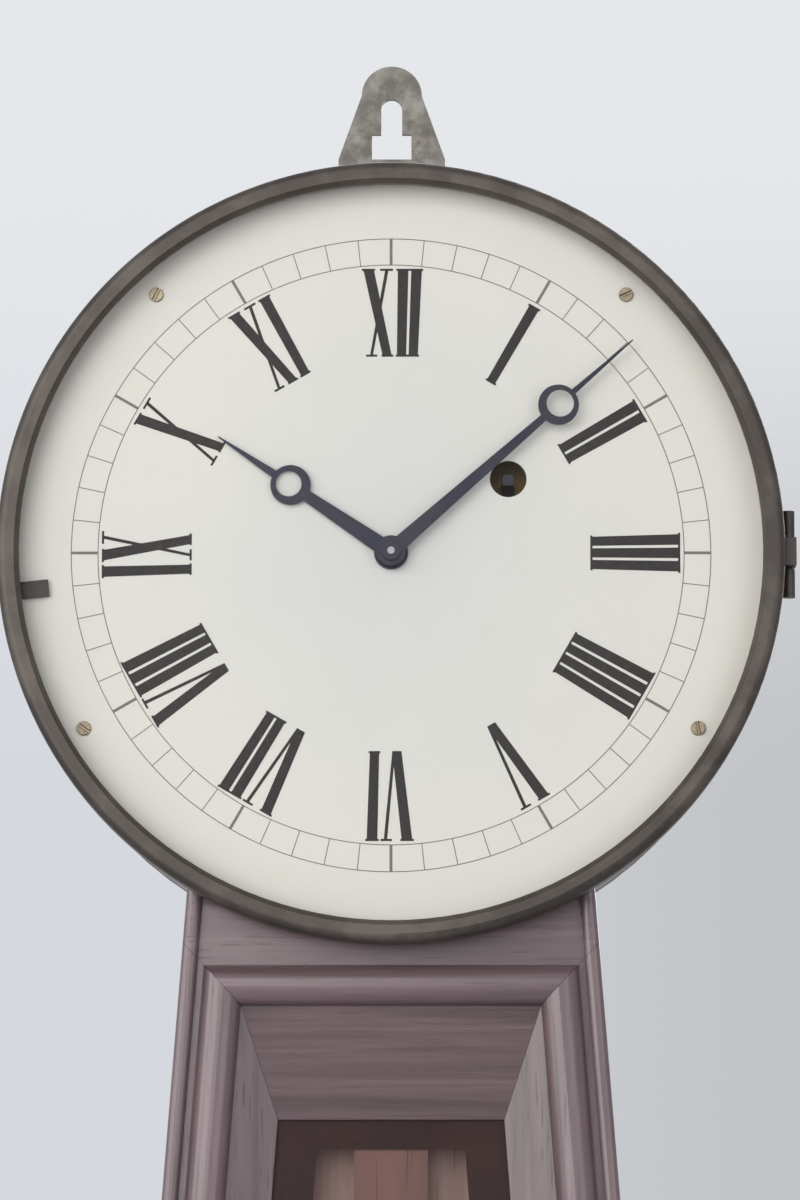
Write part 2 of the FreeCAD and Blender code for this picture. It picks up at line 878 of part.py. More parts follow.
def make_catch():
    """A lug on the back of the bezel with a prong that enters the slot in the dial."""
    body = new_body("bezel_catch", z=dial_z, clock_angle=CATCH_ANGLE)
    back = bezel_back + s.bezel_gap
    half = s.catch_height / 2
    low = bezel_sight - s.catch_reach
    high = glass_seat - s.joint_gap
    pad(body, outline(new_sketch(body, offset=back), box_points(-half, half, low, high)), s.catch_thick)
    prong = s.catch_prong / 2
    middle = bezel_sight - s.catch_tongue
    tip = drum_front - s.catch_height
    pad(body, outline(new_sketch(body, offset=tip), box_points(-prong, prong, middle - prong, middle + prong)),
        back - tip)


def knuckled_leaf(body, pin_x, pin_depth, plate_x, plate_back, plate_front, middle, pinned=False):
    """A hinge leaf whose knuckles are the outer thirds, or the middle third, of its height.
    A pinned leaf holds the pin fast, and the other leaf turns on it."""
    half = s.leaf_height / 2
    pad(body, outline(new_sketch(body, "XY_Plane", -half), box_points(
        plate_x, plate_x + s.leaf_thick, -plate_front, -plate_back)), s.leaf_height)
    back = pin_depth if middle else pin_depth - s.hinge_pin_radius
    front = pin_depth + s.hinge_pin_radius
    pad(body, outline(new_sketch(body, "XY_Plane", -half), box_points(
        plate_x, pin_x, -front, -back)), s.leaf_height)
    pad(body, ring(new_sketch(body, "XY_Plane", -half), s.knuckle_radius, pin_x, -pin_depth), s.leaf_height)
    third = s.leaf_height / 6
    clear = s.knuckle_radius + s.knuckle_gap
    zone = box_points(plate_x - s.overrun, pin_x + clear, -(pin_depth + clear), -(pin_depth - clear))
    if middle:
        for side in (-1, 1):
            low_end = -half if side < 0 else third - s.knuckle_gap
            drawing = outline(new_sketch(body, "XY_Plane", low_end), zone)
            pocket(body, drawing, third * 2 + s.knuckle_gap, forward=True)
    else:
        drawing = outline(new_sketch(body, "XY_Plane", -third - s.knuckle_gap), zone)
        pocket(body, drawing, (third + s.knuckle_gap) * 2, forward=True)
    if pinned:
        pin = ring(new_sketch(body, "XY_Plane", -half), s.hinge_pin_radius, pin_x, -pin_depth)
        pad(body, pin, s.leaf_height)
        return
    bore = new_sketch(body, "XY_Plane", ZERO)
    ring(bore, s.hinge_pin_radius + s.hinge_run, pin_x, -pin_depth)
    pocket(body, bore)


def make_bezel_hinge():
    leaf = new_body("bezel_hinge_leaf", z=dial_z)
    knuckled_leaf(leaf, bezel_pin_x, s.bezel_pin_depth, leaf_floor, bezel_leaf_back,
                  s.bezel_pin_depth + s.hinge_pin_radius, middle=False, pinned=True)


def moulded_frame(body, shape, back, splay, top_splay, outer, bead):
    """A mouldings frame: flat base, bead, half round and a sloping splay down to the glass."""
    face = back + (s.frame_base_thick if shape is throat_shape else s.door_base_thick)
    pad(body, outline(new_sketch(body, offset=back), outer), face - back)
    inset = s.bead_width + s.quirk_width
    round_outer = shape(inset, inset)
    round_inner = shape(moulding_width, moulding_width)
    raised = outline(new_sketch(body, offset=face), round_outer)
    outline(raised, round_inner)
    swell = pad(body, raised, s.half_round_height)
    crest = face + s.half_round_height
    fillet(body, swell, s.half_round_curve, lambda edge: at_depth(crest, edge))
    edging = pad(body, bead(new_sketch(body, offset=face)), s.bead_height)
    bead_crest = face + s.bead_height
    fillet(body, edging, s.bead_curve, lambda edge: at_depth(bead_crest, edge))
    rest = back + s.sight_rest
    hollow = body.newObject("PartDesign::SubtractiveLoft", "Splay")
    hollow.Profile = outline(new_sketch(body, offset=face), round_inner)
    hollow.Sections = [outline(new_sketch(body, offset=rest),
                               shape(moulding_width + splay, moulding_width + top_splay))]
    hollow.Ruled = True
    document.recompute()
    seat = shape(moulding_width + splay - s.glass_lap, moulding_width + top_splay - s.glass_lap)
    pocket(body, outline(new_sketch(body, offset=back), seat), s.sight_rest, forward=True)


def pane(label, shape, back, splay, top_splay):
    """The glass that lies in the rebate of a moulded frame."""
    body = new_body(label)
    lap = s.glass_lap + s.glass_clear
    edge = shape(moulding_width + splay - s.glass_lap + s.glass_clear,
                 moulding_width + top_splay - lap + s.glass_clear * 2)
    pad(body, outline(new_sketch(body, offset=back + s.joint_gap), edge), s.glass_thick)


def make_throat():
    for label, side in (("throat_side_left", -1), ("throat_side_right", 1)):
        body = new_body(label)
        outer_top = throat_half(side_head_drop)
        outer_foot = throat_half(throat_drop)
        high = at_drop(side_head_drop)
        low = at_drop(throat_drop)
        pad(body, outline(new_sketch(body, offset=s.board_thick), [
            (side * outer_foot, low),
            (side * outer_top, high),
            (side * (outer_top - s.side_thick), high),
            (side * (outer_foot - s.side_thick), low),
        ]), s.frame_back_depth - s.board_thick)
        cut_under_drum(body)
    body = new_body("throat_frame")
    high = at_drop(side_head_drop)
    low = at_drop(throat_drop)

    def bead(drawing):
        inner_low = throat_drop - s.bead_width
        return outline(drawing, [
            (-throat_half(side_head_drop), high),
            (-throat_half(throat_drop), low),
            (throat_half(throat_drop), low),
            (throat_half(side_head_drop), high),
            (throat_half(side_head_drop, s.bead_width), high),
            (throat_half(inner_low, s.bead_width), at_drop(inner_low)),
            (-throat_half(inner_low, s.bead_width), at_drop(inner_low)),
            (-throat_half(side_head_drop, s.bead_width), high),
        ])

    outer = trapezoid(side_head_drop, throat_drop, ZERO)
    moulded_frame(body, throat_shape, s.frame_back_depth, s.side_splay, s.top_splay, outer, bead)
    cut_under_drum(body)
    pane("throat_glass", throat_shape, s.frame_back_depth, s.side_splay, s.top_splay)


opening_half = throat_half(throat_drop, s.side_thick)


def make_baffle():
    """The board that parts the weight from the pendulum. Its foot ends above the steady screws."""
    body = new_body("baffle_board")
    gap = s.joint_gap
    top_half = throat_half(s.baffle_top_drop, s.side_thick + gap)
    foot_half = opening_half - gap
    wide = box_half - s.box_side_thick - gap
    ledge = at_drop(throat_drop + s.box_board) - gap
    foot = at_drop(box_foot_drop - s.box_board - s.baffle_lift)
    pad(body, outline(new_sketch(body, offset=s.baffle_depth), [
        (-wide, foot),
        (wide, foot),
        (wide, ledge),
        (foot_half, ledge),
        (foot_half, at_drop(throat_drop)),
        (top_half, at_drop(s.baffle_top_drop)),
        (-top_half, at_drop(s.baffle_top_drop)),
        (-foot_half, at_drop(throat_drop)),
        (-foot_half, ledge),
        (-wide, ledge),
    ]), s.baffle_thick)


def make_box():
    """Top and floor with rounded edges that stand proud, and two sides between them."""
    wide = box_half + s.cornice_reach
    front = door_front + s.cornice_reach
    side_low = at_drop(box_foot_drop - s.box_board)
    side_high = at_drop(throat_drop + s.box_board)
    for label, low in (("box_top", side_high), ("box_floor", at_drop(box_foot_drop))):
        body = new_body(label)
        board = pad(body, outline(new_sketch(body, "XY_Plane", low), box_points(
            -wide, wide, -front, -s.board_thick)), s.box_board)
        front_edge = -front.value

        def rounded(edge):
            middle = edge.CenterOfMass
            level = edge.BoundBox.ZLength < s.fit.value
            proud = abs(middle.y - front_edge) < s.fit.value or abs(abs(middle.x) - wide.value) < s.fit.value
            return level and proud

        fillet(body, board, s.cornice_curve, rounded)
        if label == "box_top":
            mouth = box_points(-opening_half, opening_half, -(s.box_depth - s.side_thick), -s.board_thick)
            pocket(body, outline(new_sketch(body, "XY_Plane", ZERO), mouth))
    for label, side in (("box_side_left", -1), ("box_side_right", 1)):
        body = new_body(label)
        pad(body, outline(new_sketch(body, offset=s.board_thick), box_points(
            side * box_half, side * (box_half - s.box_side_thick), side_low, side_high)),
            s.box_depth - s.board_thick)
        if side < 0:
            inner = -(box_half - s.box_side_thick)
            tall = turn_tongue_length
            mortise = box_points(inner - s.mortise_depth, inner, turn_z - tall, turn_z + tall)
            mortise_front = door_back - s.turn_gap + s.mortise_clear
            pocket(body, outline(new_sketch(body, offset=mortise_front), mortise),
                   s.turn_tongue_thick + s.mortise_clear * 2)


door_pin_x = box_half + pin_reach
door_pin_depth = s.box_depth + s.door_gap / 2


def make_door():
    """The moulded door of the box with its glass, hinged on the right."""
    body = new_body("door_frame")
    outer = door_shape(ZERO, ZERO)

    def bead(drawing):
        outline(drawing, door_shape(ZERO, ZERO))
        return outline(drawing, door_shape(s.bead_width, s.bead_width))

    moulded_frame(body, door_shape, door_back, s.door_splay, s.door_splay, outer, bead)
    bored(body, [(s.turn_shaft_radius + s.turn_run, turn_x, turn_z)])
    pane("door_glass", door_shape, door_back, s.door_splay, s.door_splay)


def make_door_hinges():
    plate_x = box_half
    leaf = new_body("door_hinge_fixed_leaf", kept=False)
    knuckled_leaf(leaf, door_pin_x, door_pin_depth, plate_x, s.box_depth - s.leaf_depth, s.box_depth,
                  middle=False, pinned=True)
    moving = new_body("door_hinge_moving_leaf", kept=False)
    knuckled_leaf(moving, door_pin_x, door_pin_depth, plate_x, door_back, door_base_front, middle=True)
    high = at_drop(door_top_drop + s.hinge_inset)
    low = at_drop(door_foot_drop - s.hinge_inset)
    group("door_hinge_leaves", leaf, [(ZERO, ZERO, z, 0) for z in (high, low)])
    group("door_hinge_door_leaves", moving, [(ZERO, ZERO, z, 0) for z in (high, low)])


def make_turn_catch():
    """A turned knob in front of the door with a tongue behind it."""
    body = new_body("door_turn_catch", x=turn_x, z=turn_z)
    tongue_front = door_back - s.turn_gap
    tongue_back = tongue_front - s.turn_tongue_thick
    knob_back = door_front + s.turn_run
    rod(body, [
        (s.turn_shaft_radius, tongue_back, knob_back),
        (s.turn_neck_radius, knob_back, knob_back + s.turn_knob_rise / 3),
        (s.turn_knob_radius, knob_back + s.turn_knob_rise / 3, knob_back + s.turn_knob_rise),
    ])
    half = s.turn_tongue_width / 2
    tongue = box_points(-turn_tongue_length, s.turn_shaft_radius, -half, half)
    pad(body, outline(new_sketch(body, offset=tongue_back), tongue), s.turn_tongue_thick)


# Movement: plates, pillars and wheels

def tooth_gap(drawing, count, module, addendum, dedendum, root, pitch, tip):
    """The gap between two teeth: an outline that widens outwards, centred on twelve o'clock."""
    pitch_radius = module * count / 2
    low = pitch_radius - module * dedendum
    high = pitch_radius + module * addendum
    step = math.pi / count
    widths = [
        (low, low * step * (1 - root)),
        (pitch_radius, pitch_radius * step * (1 - pitch)),
        (high, high * step * (1 - tip)),
    ]
    points = [(-half, radius) for radius, half in reversed(widths)]
    points += [(half, radius) for radius, half in widths]
    return outline(drawing, points)


def cut_teeth(body, count, module, front, width, angle, leaves=False):
    """Cuts teeth in a blank, with a gap at a clock angle seen from the front."""
    shares = (wheel_addendum_share, wheel_dedendum_share, tooth_root_share, tooth_pitch_share, tooth_tip_share)
    if leaves:
        shares = (leaf_addendum_share, leaf_dedendum_share, leaf_root_share, leaf_pitch_share, leaf_tip_share)
    drawing = new_sketch(body, offset=front, turn=-angle)
    tooth_gap(drawing, count, module, *shares)
    cut = pocket(body, drawing, width)
    return around(body, cut, drawing, count)


def wheel_tip(count, module):
    return module * (count / 2 + wheel_addendum_share)


def leaf_tip(count, module):
    return module * (count / 2 + leaf_addendum_share)


def cut_crossings(body, outer, inner, count):
    """Openings between the spokes of a wheel."""
    drawing = new_sketch(body)
    half = math.pi / count
    wide_out = outer * round(math.sin(half), 9) - s.spoke_width / 2
    wide_in = inner * round(math.sin(half), 9) - s.spoke_width / 2
    high = outer * round(math.cos(half), 9)
    low = inner * round(math.cos(half), 9)
    outline(drawing, [
        (-wide_in, low),
        (-wide_out, high, -outer),
        (wide_out, high),
        (wide_in, low, inner),
    ])
    cut = pocket(body, drawing)
    return around(body, cut, drawing, count)


def clock_direction(from_x, from_z, to_x, to_z):
    """The clock angle of the line from one arbor to another."""
    return math.degrees(math.atan2(to_x.value - from_x.value, to_z.value - from_z.value))


to_great = clock_direction(ZERO, ZERO, great_x, great_z)
to_third = clock_direction(ZERO, ZERO, third_x, third_z)
to_escape = clock_direction(third_x, third_z, escape_x, escape_z)


def make_plates():
    stubs = [(s.pillar_stub + s.fit, x, z) for x, z in pillar_spots]
    pivot = s.pivot_radius + s.pivot_run
    arbors = [(pivot, third_x, third_z), (pivot, escape_x, escape_z)]
    winding = (s.winding_pivot_radius + s.pivot_run, great_x, great_z)
    through = s.arbor_radius + s.pivot_run
    edges = box_points(-s.plate_left, s.plate_right, -s.plate_foot, s.plate_top)
    for label, depth, extra in (
        ("back_plate", s.back_plate_depth, [(pivot, ZERO, ZERO), (pivot, ZERO, s.pallet_rise)]),
        ("front_plate", front_plate_depth, [(through, ZERO, ZERO), (through, ZERO, s.pallet_rise)]),
    ):
        body = new_body(label, z=dial_z)
        plate = pad(body, outline(new_sketch(body, offset=depth), edges), s.plate_thick)
        fillet(body, plate, s.plate_corner, lambda edge: edge.BoundBox.YLength > s.plate_thick.value / 2)
        bored(body, stubs + arbors + [winding] + extra)
        if label == "front_plate":
            stud = ring(new_sketch(body, offset=depth), s.stud_radius, stud_x, stud_z)
            pad(body, stud, minute_pinion_front + s.hand_thick - depth)
        else:
            post = ring(new_sketch(body, offset=depth), s.line_post_radius, fixed_line_x, -s.line_post_drop)
            pad(body, post, front_plate_depth - s.pivot_run - depth)


minute_pinion_front = s.minute_wheel_depth + s.wheel_thick + s.minute_pinion_width


def make_pillars():
    nut_front = front_plate_front + s.pillar_nut_height
    pillar = new_body("pillar", kept=False)
    rod(pillar, [
        (s.pillar_stub, s.board_thick - s.pillar_anchor + s.fit, back_plate_front),
        (s.pillar_radius, back_plate_front, front_plate_depth),
        (s.pillar_stub, front_plate_depth, nut_front),
    ])
    nut = new_body("pillar_nut", kept=False)
    turned(nut, [
        (s.pillar_stub + s.fit, front_plate_front),
        (s.pillar_nut_radius, front_plate_front),
        (s.pillar_nut_radius, nut_front),
        (s.pillar_stub + s.fit, nut_front),
    ])
    spacer = new_body("spacer", kept=False)
    turned(spacer, [
        (s.pillar_stub + s.fit, s.board_thick),
        (s.spacer_radius, s.board_thick),
        (s.spacer_radius, s.back_plate_depth),
        (s.pillar_stub + s.fit, s.back_plate_depth),
    ])
    places = [(x, ZERO, dial_z + z, 0) for x, z in pillar_spots]
    group("movement_spacers", spacer, places)
    group("plate_pillars", pillar, places)
    group("pillar_nuts", nut, places)


def make_great_wheel():
    """The wheel that turns freely on the winding arbor and drives the centre pinion."""
    body = new_body("great_wheel", x=great_x, z=dial_z + great_z)
    bore = s.winding_arbor_radius + s.pivot_run
    back = s.great_wheel_depth
    front = back + s.great_thick
    hub = s.winding_arbor_radius * 2
    tip = wheel_tip(GREAT_TEETH, s.great_module)
    turned(body, [
        (bore, back - s.wheel_thick),
        (hub, back - s.wheel_thick),
        (hub, back),
        (tip, back),
        (tip, front),
        (bore, front),
    ])
    rim = s.great_module * (GREAT_TEETH / 2 - wheel_dedendum_share) - s.wheel_rim
    cut_crossings(body, rim, s.click_pivot + s.wheel_rim * 2, 5)
    phase = to_great + 180 + 180 / GREAT_TEETH
    cut_teeth(body, GREAT_TEETH, s.great_module, front, s.great_thick, phase)
    pin_x, pin_z = on_circle(s.click_pivot, CLICK_ANGLE)
    pin = ring(new_sketch(body, offset=back), s.click_pin_radius, pin_x, pin_z)
    pad(body, pin, s.ratchet_depth + s.click_thick + s.click_pin_radius / 2 - back)


def make_barrel():
    """The line barrel with its ratchet, fast on the winding arbor."""
    body = new_body("barrel", x=great_x, z=dial_z + great_z)
    bore = s.winding_arbor_radius + s.fit
    neck = s.winding_arbor_radius * 2
    ratchet_front = s.ratchet_depth + s.ratchet_thick
    flange = s.barrel_flange_thick
    turned(body, [
        (bore, s.ratchet_depth),
        (s.ratchet_radius, s.ratchet_depth),
        (s.ratchet_radius, ratchet_front),
        (neck, ratchet_front),
        (neck, s.barrel_back_depth),
        (s.barrel_flange, s.barrel_back_depth),
        (s.barrel_flange, s.barrel_back_depth + flange),
        (s.barrel_radius, s.barrel_back_depth + flange),
        (s.barrel_radius, s.barrel_front_depth - flange),
        (s.barrel_flange, s.barrel_front_depth - flange),
        (s.barrel_flange, s.barrel_front_depth),
        (bore, s.barrel_front_depth),
    ])
    drawing = new_sketch(body, offset=ratchet_front)
    low = s.ratchet_radius - s.ratchet_tooth
    step = s.ratchet_radius * round(2 * math.pi / RATCHET_TEETH, 9)
    outline(drawing, [
        (ZERO, low),
        (ZERO, s.ratchet_radius + s.joint_gap),
        (step * ratchet_gap_share, s.ratchet_radius + s.joint_gap),
    ])
    cut = pocket(body, drawing, s.ratchet_thick)
    around(body, cut, drawing, RATCHET_TEETH)
    arbor = new_body("winding_arbor", x=great_x, z=dial_z + great_z)
    rod(arbor, [
        (s.winding_pivot_radius, s.back_plate_depth, back_plate_front),
        (s.winding_arbor_radius, back_plate_front + s.pivot_run, front_plate_depth - s.pivot_run),
        (s.winding_pivot_radius, front_plate_depth - s.pivot_run, front_plate_front + s.wheel_thick),
    ])
    half = s.winding_square / 2
    square = outline(new_sketch(arbor, offset=front_plate_front), box_points(-half, half, -half, half))
    pad(arbor, square, s.winding_square_front - front_plate_front)


def make_click():
    """The pawl on the great wheel, and the strip that presses it on the ratchet."""
    body = new_body("click", x=great_x, z=dial_z + great_z, clock_angle=CLICK_ANGLE)
    back = s.ratchet_depth
    hub = s.click_hub
    pad(body, ring(new_sketch(body, offset=back), hub, ZERO, s.click_pivot), s.click_thick)
    reach = s.ratchet_radius + s.click_clear
    tip_x, tip_z = (-reach * click_tip_across_share, reach * click_tip_up_share)
    arm = s.click_width / 2
    pad(body, outline(new_sketch(body, offset=back), [
        (-arm, s.click_pivot + arm),
        (-arm * 2, s.click_pivot - arm),
        (tip_x, tip_z),
        (ZERO, s.click_pivot - hub),
    ]), s.click_thick)
    bored(body, [(s.click_pin_radius + s.pivot_run, ZERO, s.click_pivot)])
    spring = new_body("click_spring", x=great_x, z=dial_z + great_z, clock_angle=CLICK_ANGLE)
    front = s.great_wheel_depth + s.great_thick
    far = -s.spring_foot_reach
    foot = box_points(far - s.spring_foot_width, far, s.click_pivot - arm * 2, s.click_pivot)
    pad(spring, outline(new_sketch(spring, offset=front), foot), back + s.click_thick - front)
    near = -arm * 2 - s.spring_end_gap
    level = s.click_pivot - arm
    pad(spring, outline(new_sketch(spring, offset=back), [
        (far, level),
        (near, level),
        (near, level + s.spring_thick),
        (far, level + s.spring_thick),
    ]), s.click_thick)


def make_arbor(label, x, z, count, module, pinion_back, pinion_width, angle, front, front_pivot=True):
    """An arbor turned in one piece with its pinion."""
    body = new_body(label, x=x, z=dial_z + z)
    steps = [
        (s.pivot_radius, s.back_plate_depth, back_plate_front),
        (s.arbor_radius, back_plate_front, pinion_back),
        (leaf_tip(count, module), pinion_back, pinion_back + pinion_width),
        (s.arbor_radius, pinion_back + pinion_width, front),
    ]
    if front_pivot:
        steps.append((s.pivot_radius, front, front_plate_front))
    rod(body, steps)
    cut_teeth(body, count, module, pinion_back + pinion_width, pinion_width, angle, leaves=True)
    return body


def make_wheel(label, x, z, count, module, back, angle, spokes):
    """A crossed out wheel with a hub, fast on its arbor."""
    body = new_body(label, x=x, z=dial_z + z)
    bore = s.arbor_radius + s.fit
    front = back + s.wheel_thick
    tip = wheel_tip(count, module)
    turned(body, [
        (bore, back - s.wheel_thick),
        (s.wheel_hub - s.wheel_thick, back - s.wheel_thick),
        (s.wheel_hub - s.wheel_thick, back),
        (tip, back),
        (tip, front),
        (bore, front),
    ])
    rim = module * (count / 2 - wheel_dedendum_share) - s.wheel_rim / 2
    cut_crossings(body, rim, s.wheel_hub + s.wheel_thick, spokes)
    cut_teeth(body, count, module, front, s.wheel_thick, angle)
    return body


def make_train():
    far = front_plate_depth - s.pivot_run
    margin = s.pinion_margin
    wide = s.great_thick + margin * 2
    make_arbor("centre_arbor", ZERO, ZERO, PINION_LEAVES, s.great_module, s.great_wheel_depth - margin, wide,
               to_great, centre_arbor_front, front_pivot=False)
    wide = s.wheel_thick + margin * 2
    make_arbor("third_arbor", third_x, third_z, PINION_LEAVES, s.centre_module,
               s.centre_wheel_depth - margin, wide, to_third + 180, far)
    make_arbor("escape_arbor", escape_x, escape_z, PINION_LEAVES, s.third_module,
               s.third_wheel_depth - margin, wide, to_escape + 180, far)
    make_wheel("centre_wheel", ZERO, ZERO, CENTRE_TEETH, s.centre_module, s.centre_wheel_depth,
               to_third + 180 / CENTRE_TEETH, 5)
    make_wheel("third_wheel", third_x, third_z, THIRD_TEETH, s.third_module, s.third_wheel_depth,
               to_escape + 180 / THIRD_TEETH, 5)


centre_arbor_front = s.hour_pipe_front + s.hand_boss * 2 + s.hand_nut_height


def make_escapement():
    """The escape wheel with raked teeth, and the pallets that embrace it from above."""
    body = new_body("escape_wheel", x=escape_x, z=dial_z + escape_z)
    bore = s.arbor_radius + s.fit
    back = s.escape_wheel_depth
    front = back + s.wheel_thick
    turned(body, [
        (bore, back - s.wheel_thick),
        (s.wheel_hub - s.wheel_thick, back - s.wheel_thick),
        (s.wheel_hub - s.wheel_thick, back),
        (s.escape_radius, back),
        (s.escape_radius, front),
        (bore, front),
    ])
    root = s.escape_radius - s.escape_tooth
    drawing = new_sketch(body, offset=front)
    pitch = 2 * math.pi / ESCAPE_TEETH
    outline(drawing, [
        (ZERO, root),
        (s.spring_thick, s.escape_radius + s.fit),
        (s.escape_radius * round(escape_tip_share * pitch, 9), s.escape_radius + s.fit),
        (root * round(escape_root_share * pitch, 9), root),
    ])
    cut = pocket(body, drawing, s.wheel_thick)
    around(body, cut, drawing, ESCAPE_TEETH)
    cut_crossings(body, root - s.wheel_thick, s.wheel_hub, 4)
    body = new_body("pallets", z=dial_z + s.pallet_rise, clock_angle=PALLET_TILT)
    front = front_plate_front + s.crutch_thick * 2
    rod(body, [
        (s.pivot_radius, s.back_plate_depth, back_plate_front),
        (s.arbor_radius, back_plate_front, front),
    ])
    back = s.escape_wheel_depth - (s.pallet_thick - s.wheel_thick) / 2
    hub = ring(new_sketch(body, offset=back), s.wheel_hub - s.wheel_thick / 2, ZERO, ZERO)
    pad(body, hub, s.pallet_thick)
    apart = s.escape_radius * 2 ** 0.5
    clear = s.escape_radius + s.pallet_clear
    nib_x = clear / 2 ** 0.5
    nib_z = nib_x - apart
    for side in (-1, 1):
        elbow = [(side * (nib_x + s.pallet_band * across), nib_z + s.pallet_band * up)
                 for across, up in pallet_outline_shares]
        arm = [(side * (-s.arbor_radius), s.wheel_hub / 2), *elbow, (side * s.arbor_radius, -s.wheel_hub / 2)]
        pad(body, outline(new_sketch(body, offset=back), arm), s.pallet_thick)
    crutch = new_body("crutch", z=dial_z + s.pallet_rise)
    back = s.crutch_depth
    pad(crutch, ring(new_sketch(crutch, offset=back), s.crutch_hub), s.crutch_thick)
    half = s.crutch_width / 2
    arm = box_points(-half, half, -(s.crutch_drop + half), ZERO)
    pad(crutch, outline(new_sketch(crutch, offset=back), arm), s.crutch_thick)
    pin = ring(new_sketch(crutch, offset=back), s.crutch_pin_radius, ZERO, -s.crutch_drop)
    pad(crutch, pin, s.pendulum_depth + s.stem_thick / 2 - back)
    bored(crutch, [(s.arbor_radius + s.fit, ZERO, ZERO)])


def make_motion_work():
    """Cannon pinion, minute wheel and hour wheel, twelve turns to one."""
    facing = STUD_ANGLE
    cannon = new_body("cannon_pinion", z=dial_z)
    back = s.cannon_depth
    front = back + s.cannon_leaves_width
    tube_front = s.hour_pipe_front + s.hand_boss * 2 - s.joint_gap
    turned(cannon, [
        (s.arbor_radius + s.pivot_run, back),
        (leaf_tip(CANNON_LEAVES, cannon_module), back),
        (leaf_tip(CANNON_LEAVES, cannon_module), front),
        (s.cannon_radius, front),
        (s.cannon_radius, tube_front),
        (s.arbor_radius + s.pivot_run, tube_front),
    ])
    cut_teeth(cannon, CANNON_LEAVES, cannon_module, front, s.cannon_leaves_width, facing, leaves=True)
    minute = new_body("minute_wheel", x=stud_x, z=dial_z + stud_z)
    back = s.minute_wheel_depth
    front = back + s.wheel_thick
    tip = wheel_tip(MINUTE_TEETH, cannon_module)
    leaf = leaf_tip(MINUTE_LEAVES, hour_module)
    turned(minute, [
        (s.stud_radius + s.pivot_run, back),
        (tip, back),
        (tip, front),
        (leaf, front),
        (leaf, minute_pinion_front),
        (s.stud_radius + s.pivot_run, minute_pinion_front),
    ])
    cut_teeth(minute, MINUTE_TEETH, cannon_module, front, s.wheel_thick, facing + 180 + 180 / MINUTE_TEETH)
    cut_teeth(minute, MINUTE_LEAVES, hour_module, minute_pinion_front, s.minute_pinion_width, facing + 180,
              leaves=True)
    hour = new_body("hour_wheel", z=dial_z)
    back = s.hour_wheel_depth
    front = back + s.wheel_thick
    tip = wheel_tip(HOUR_TEETH, hour_module)
    bore = s.cannon_radius + s.pivot_run
    turned(hour, [
        (bore, back),
        (tip, back),
        (tip, front),
        (s.hour_pipe_radius, front),
        (s.hour_pipe_radius, s.hour_pipe_front),
        (bore, s.hour_pipe_front),
    ])
    cut_teeth(hour, HOUR_TEETH, hour_module, front, s.wheel_thick, facing + 180 / HOUR_TEETH)


def make_hand(label, angle, back, bore, boss, length, reach, ring_radius, hole, root, tip_width):
    """A hand with a boss, a tapered stem, a ring with an eccentric hole and a point."""
    body = new_body(label, z=dial_z, clock_angle=angle)
    front = back + s.hand_boss
    thin = front - s.hand_thick
    pad(body, ring(new_sketch(body, offset=back), boss), s.hand_boss)
    pad(body, outline(new_sketch(body, offset=thin), [
        (-root / 2, ZERO),
        (root / 2, ZERO),
        (tip_width / 2, reach),
        (-tip_width / 2, reach),
    ]), s.hand_thick)
    pad(body, outline(new_sketch(body, offset=thin), [
        (-tip_width / 2, reach),
        (tip_width / 2, reach),
        (s.hand_point / 2, length),
        (-s.hand_point / 2, length),
    ]), s.hand_thick)
    pad(body, ring(new_sketch(body, offset=thin), ring_radius, ZERO, reach), s.hand_thick)
    bored(body, [(bore + s.fit, ZERO, ZERO), (hole, ZERO, reach + s.hand_eye)])


def make_hands():
    make_hand("hour_hand", HOUR_HAND_ANGLE, s.hour_pipe_front - s.hand_boss, s.hour_pipe_radius,
              s.hour_hand_boss_radius, s.hour_hand_length, s.hour_ring_reach, s.hour_ring_radius,
              s.hour_ring_hole, s.hour_stem_root, s.hour_stem_tip)
    minute_back = s.hour_pipe_front + s.hand_boss - s.joint_gap
    make_hand("minute_hand", MINUTE_HAND_ANGLE, minute_back, s.cannon_radius,
              s.minute_hand_boss_radius, s.minute_hand_length, s.minute_ring_reach, s.minute_ring_radius,
              s.minute_ring_hole, s.minute_stem_root, s.minute_stem_tip)
    nut = new_body("hand_nut", z=dial_z)
    back = minute_back + s.hand_boss
    turned(nut, [
        (s.arbor_radius + s.fit, back),
        (s.hand_nut_radius, back),
        (s.hand_nut_radius, back + s.hand_nut_height),
        (s.arbor_radius + s.fit, back + s.hand_nut_height),
    ])


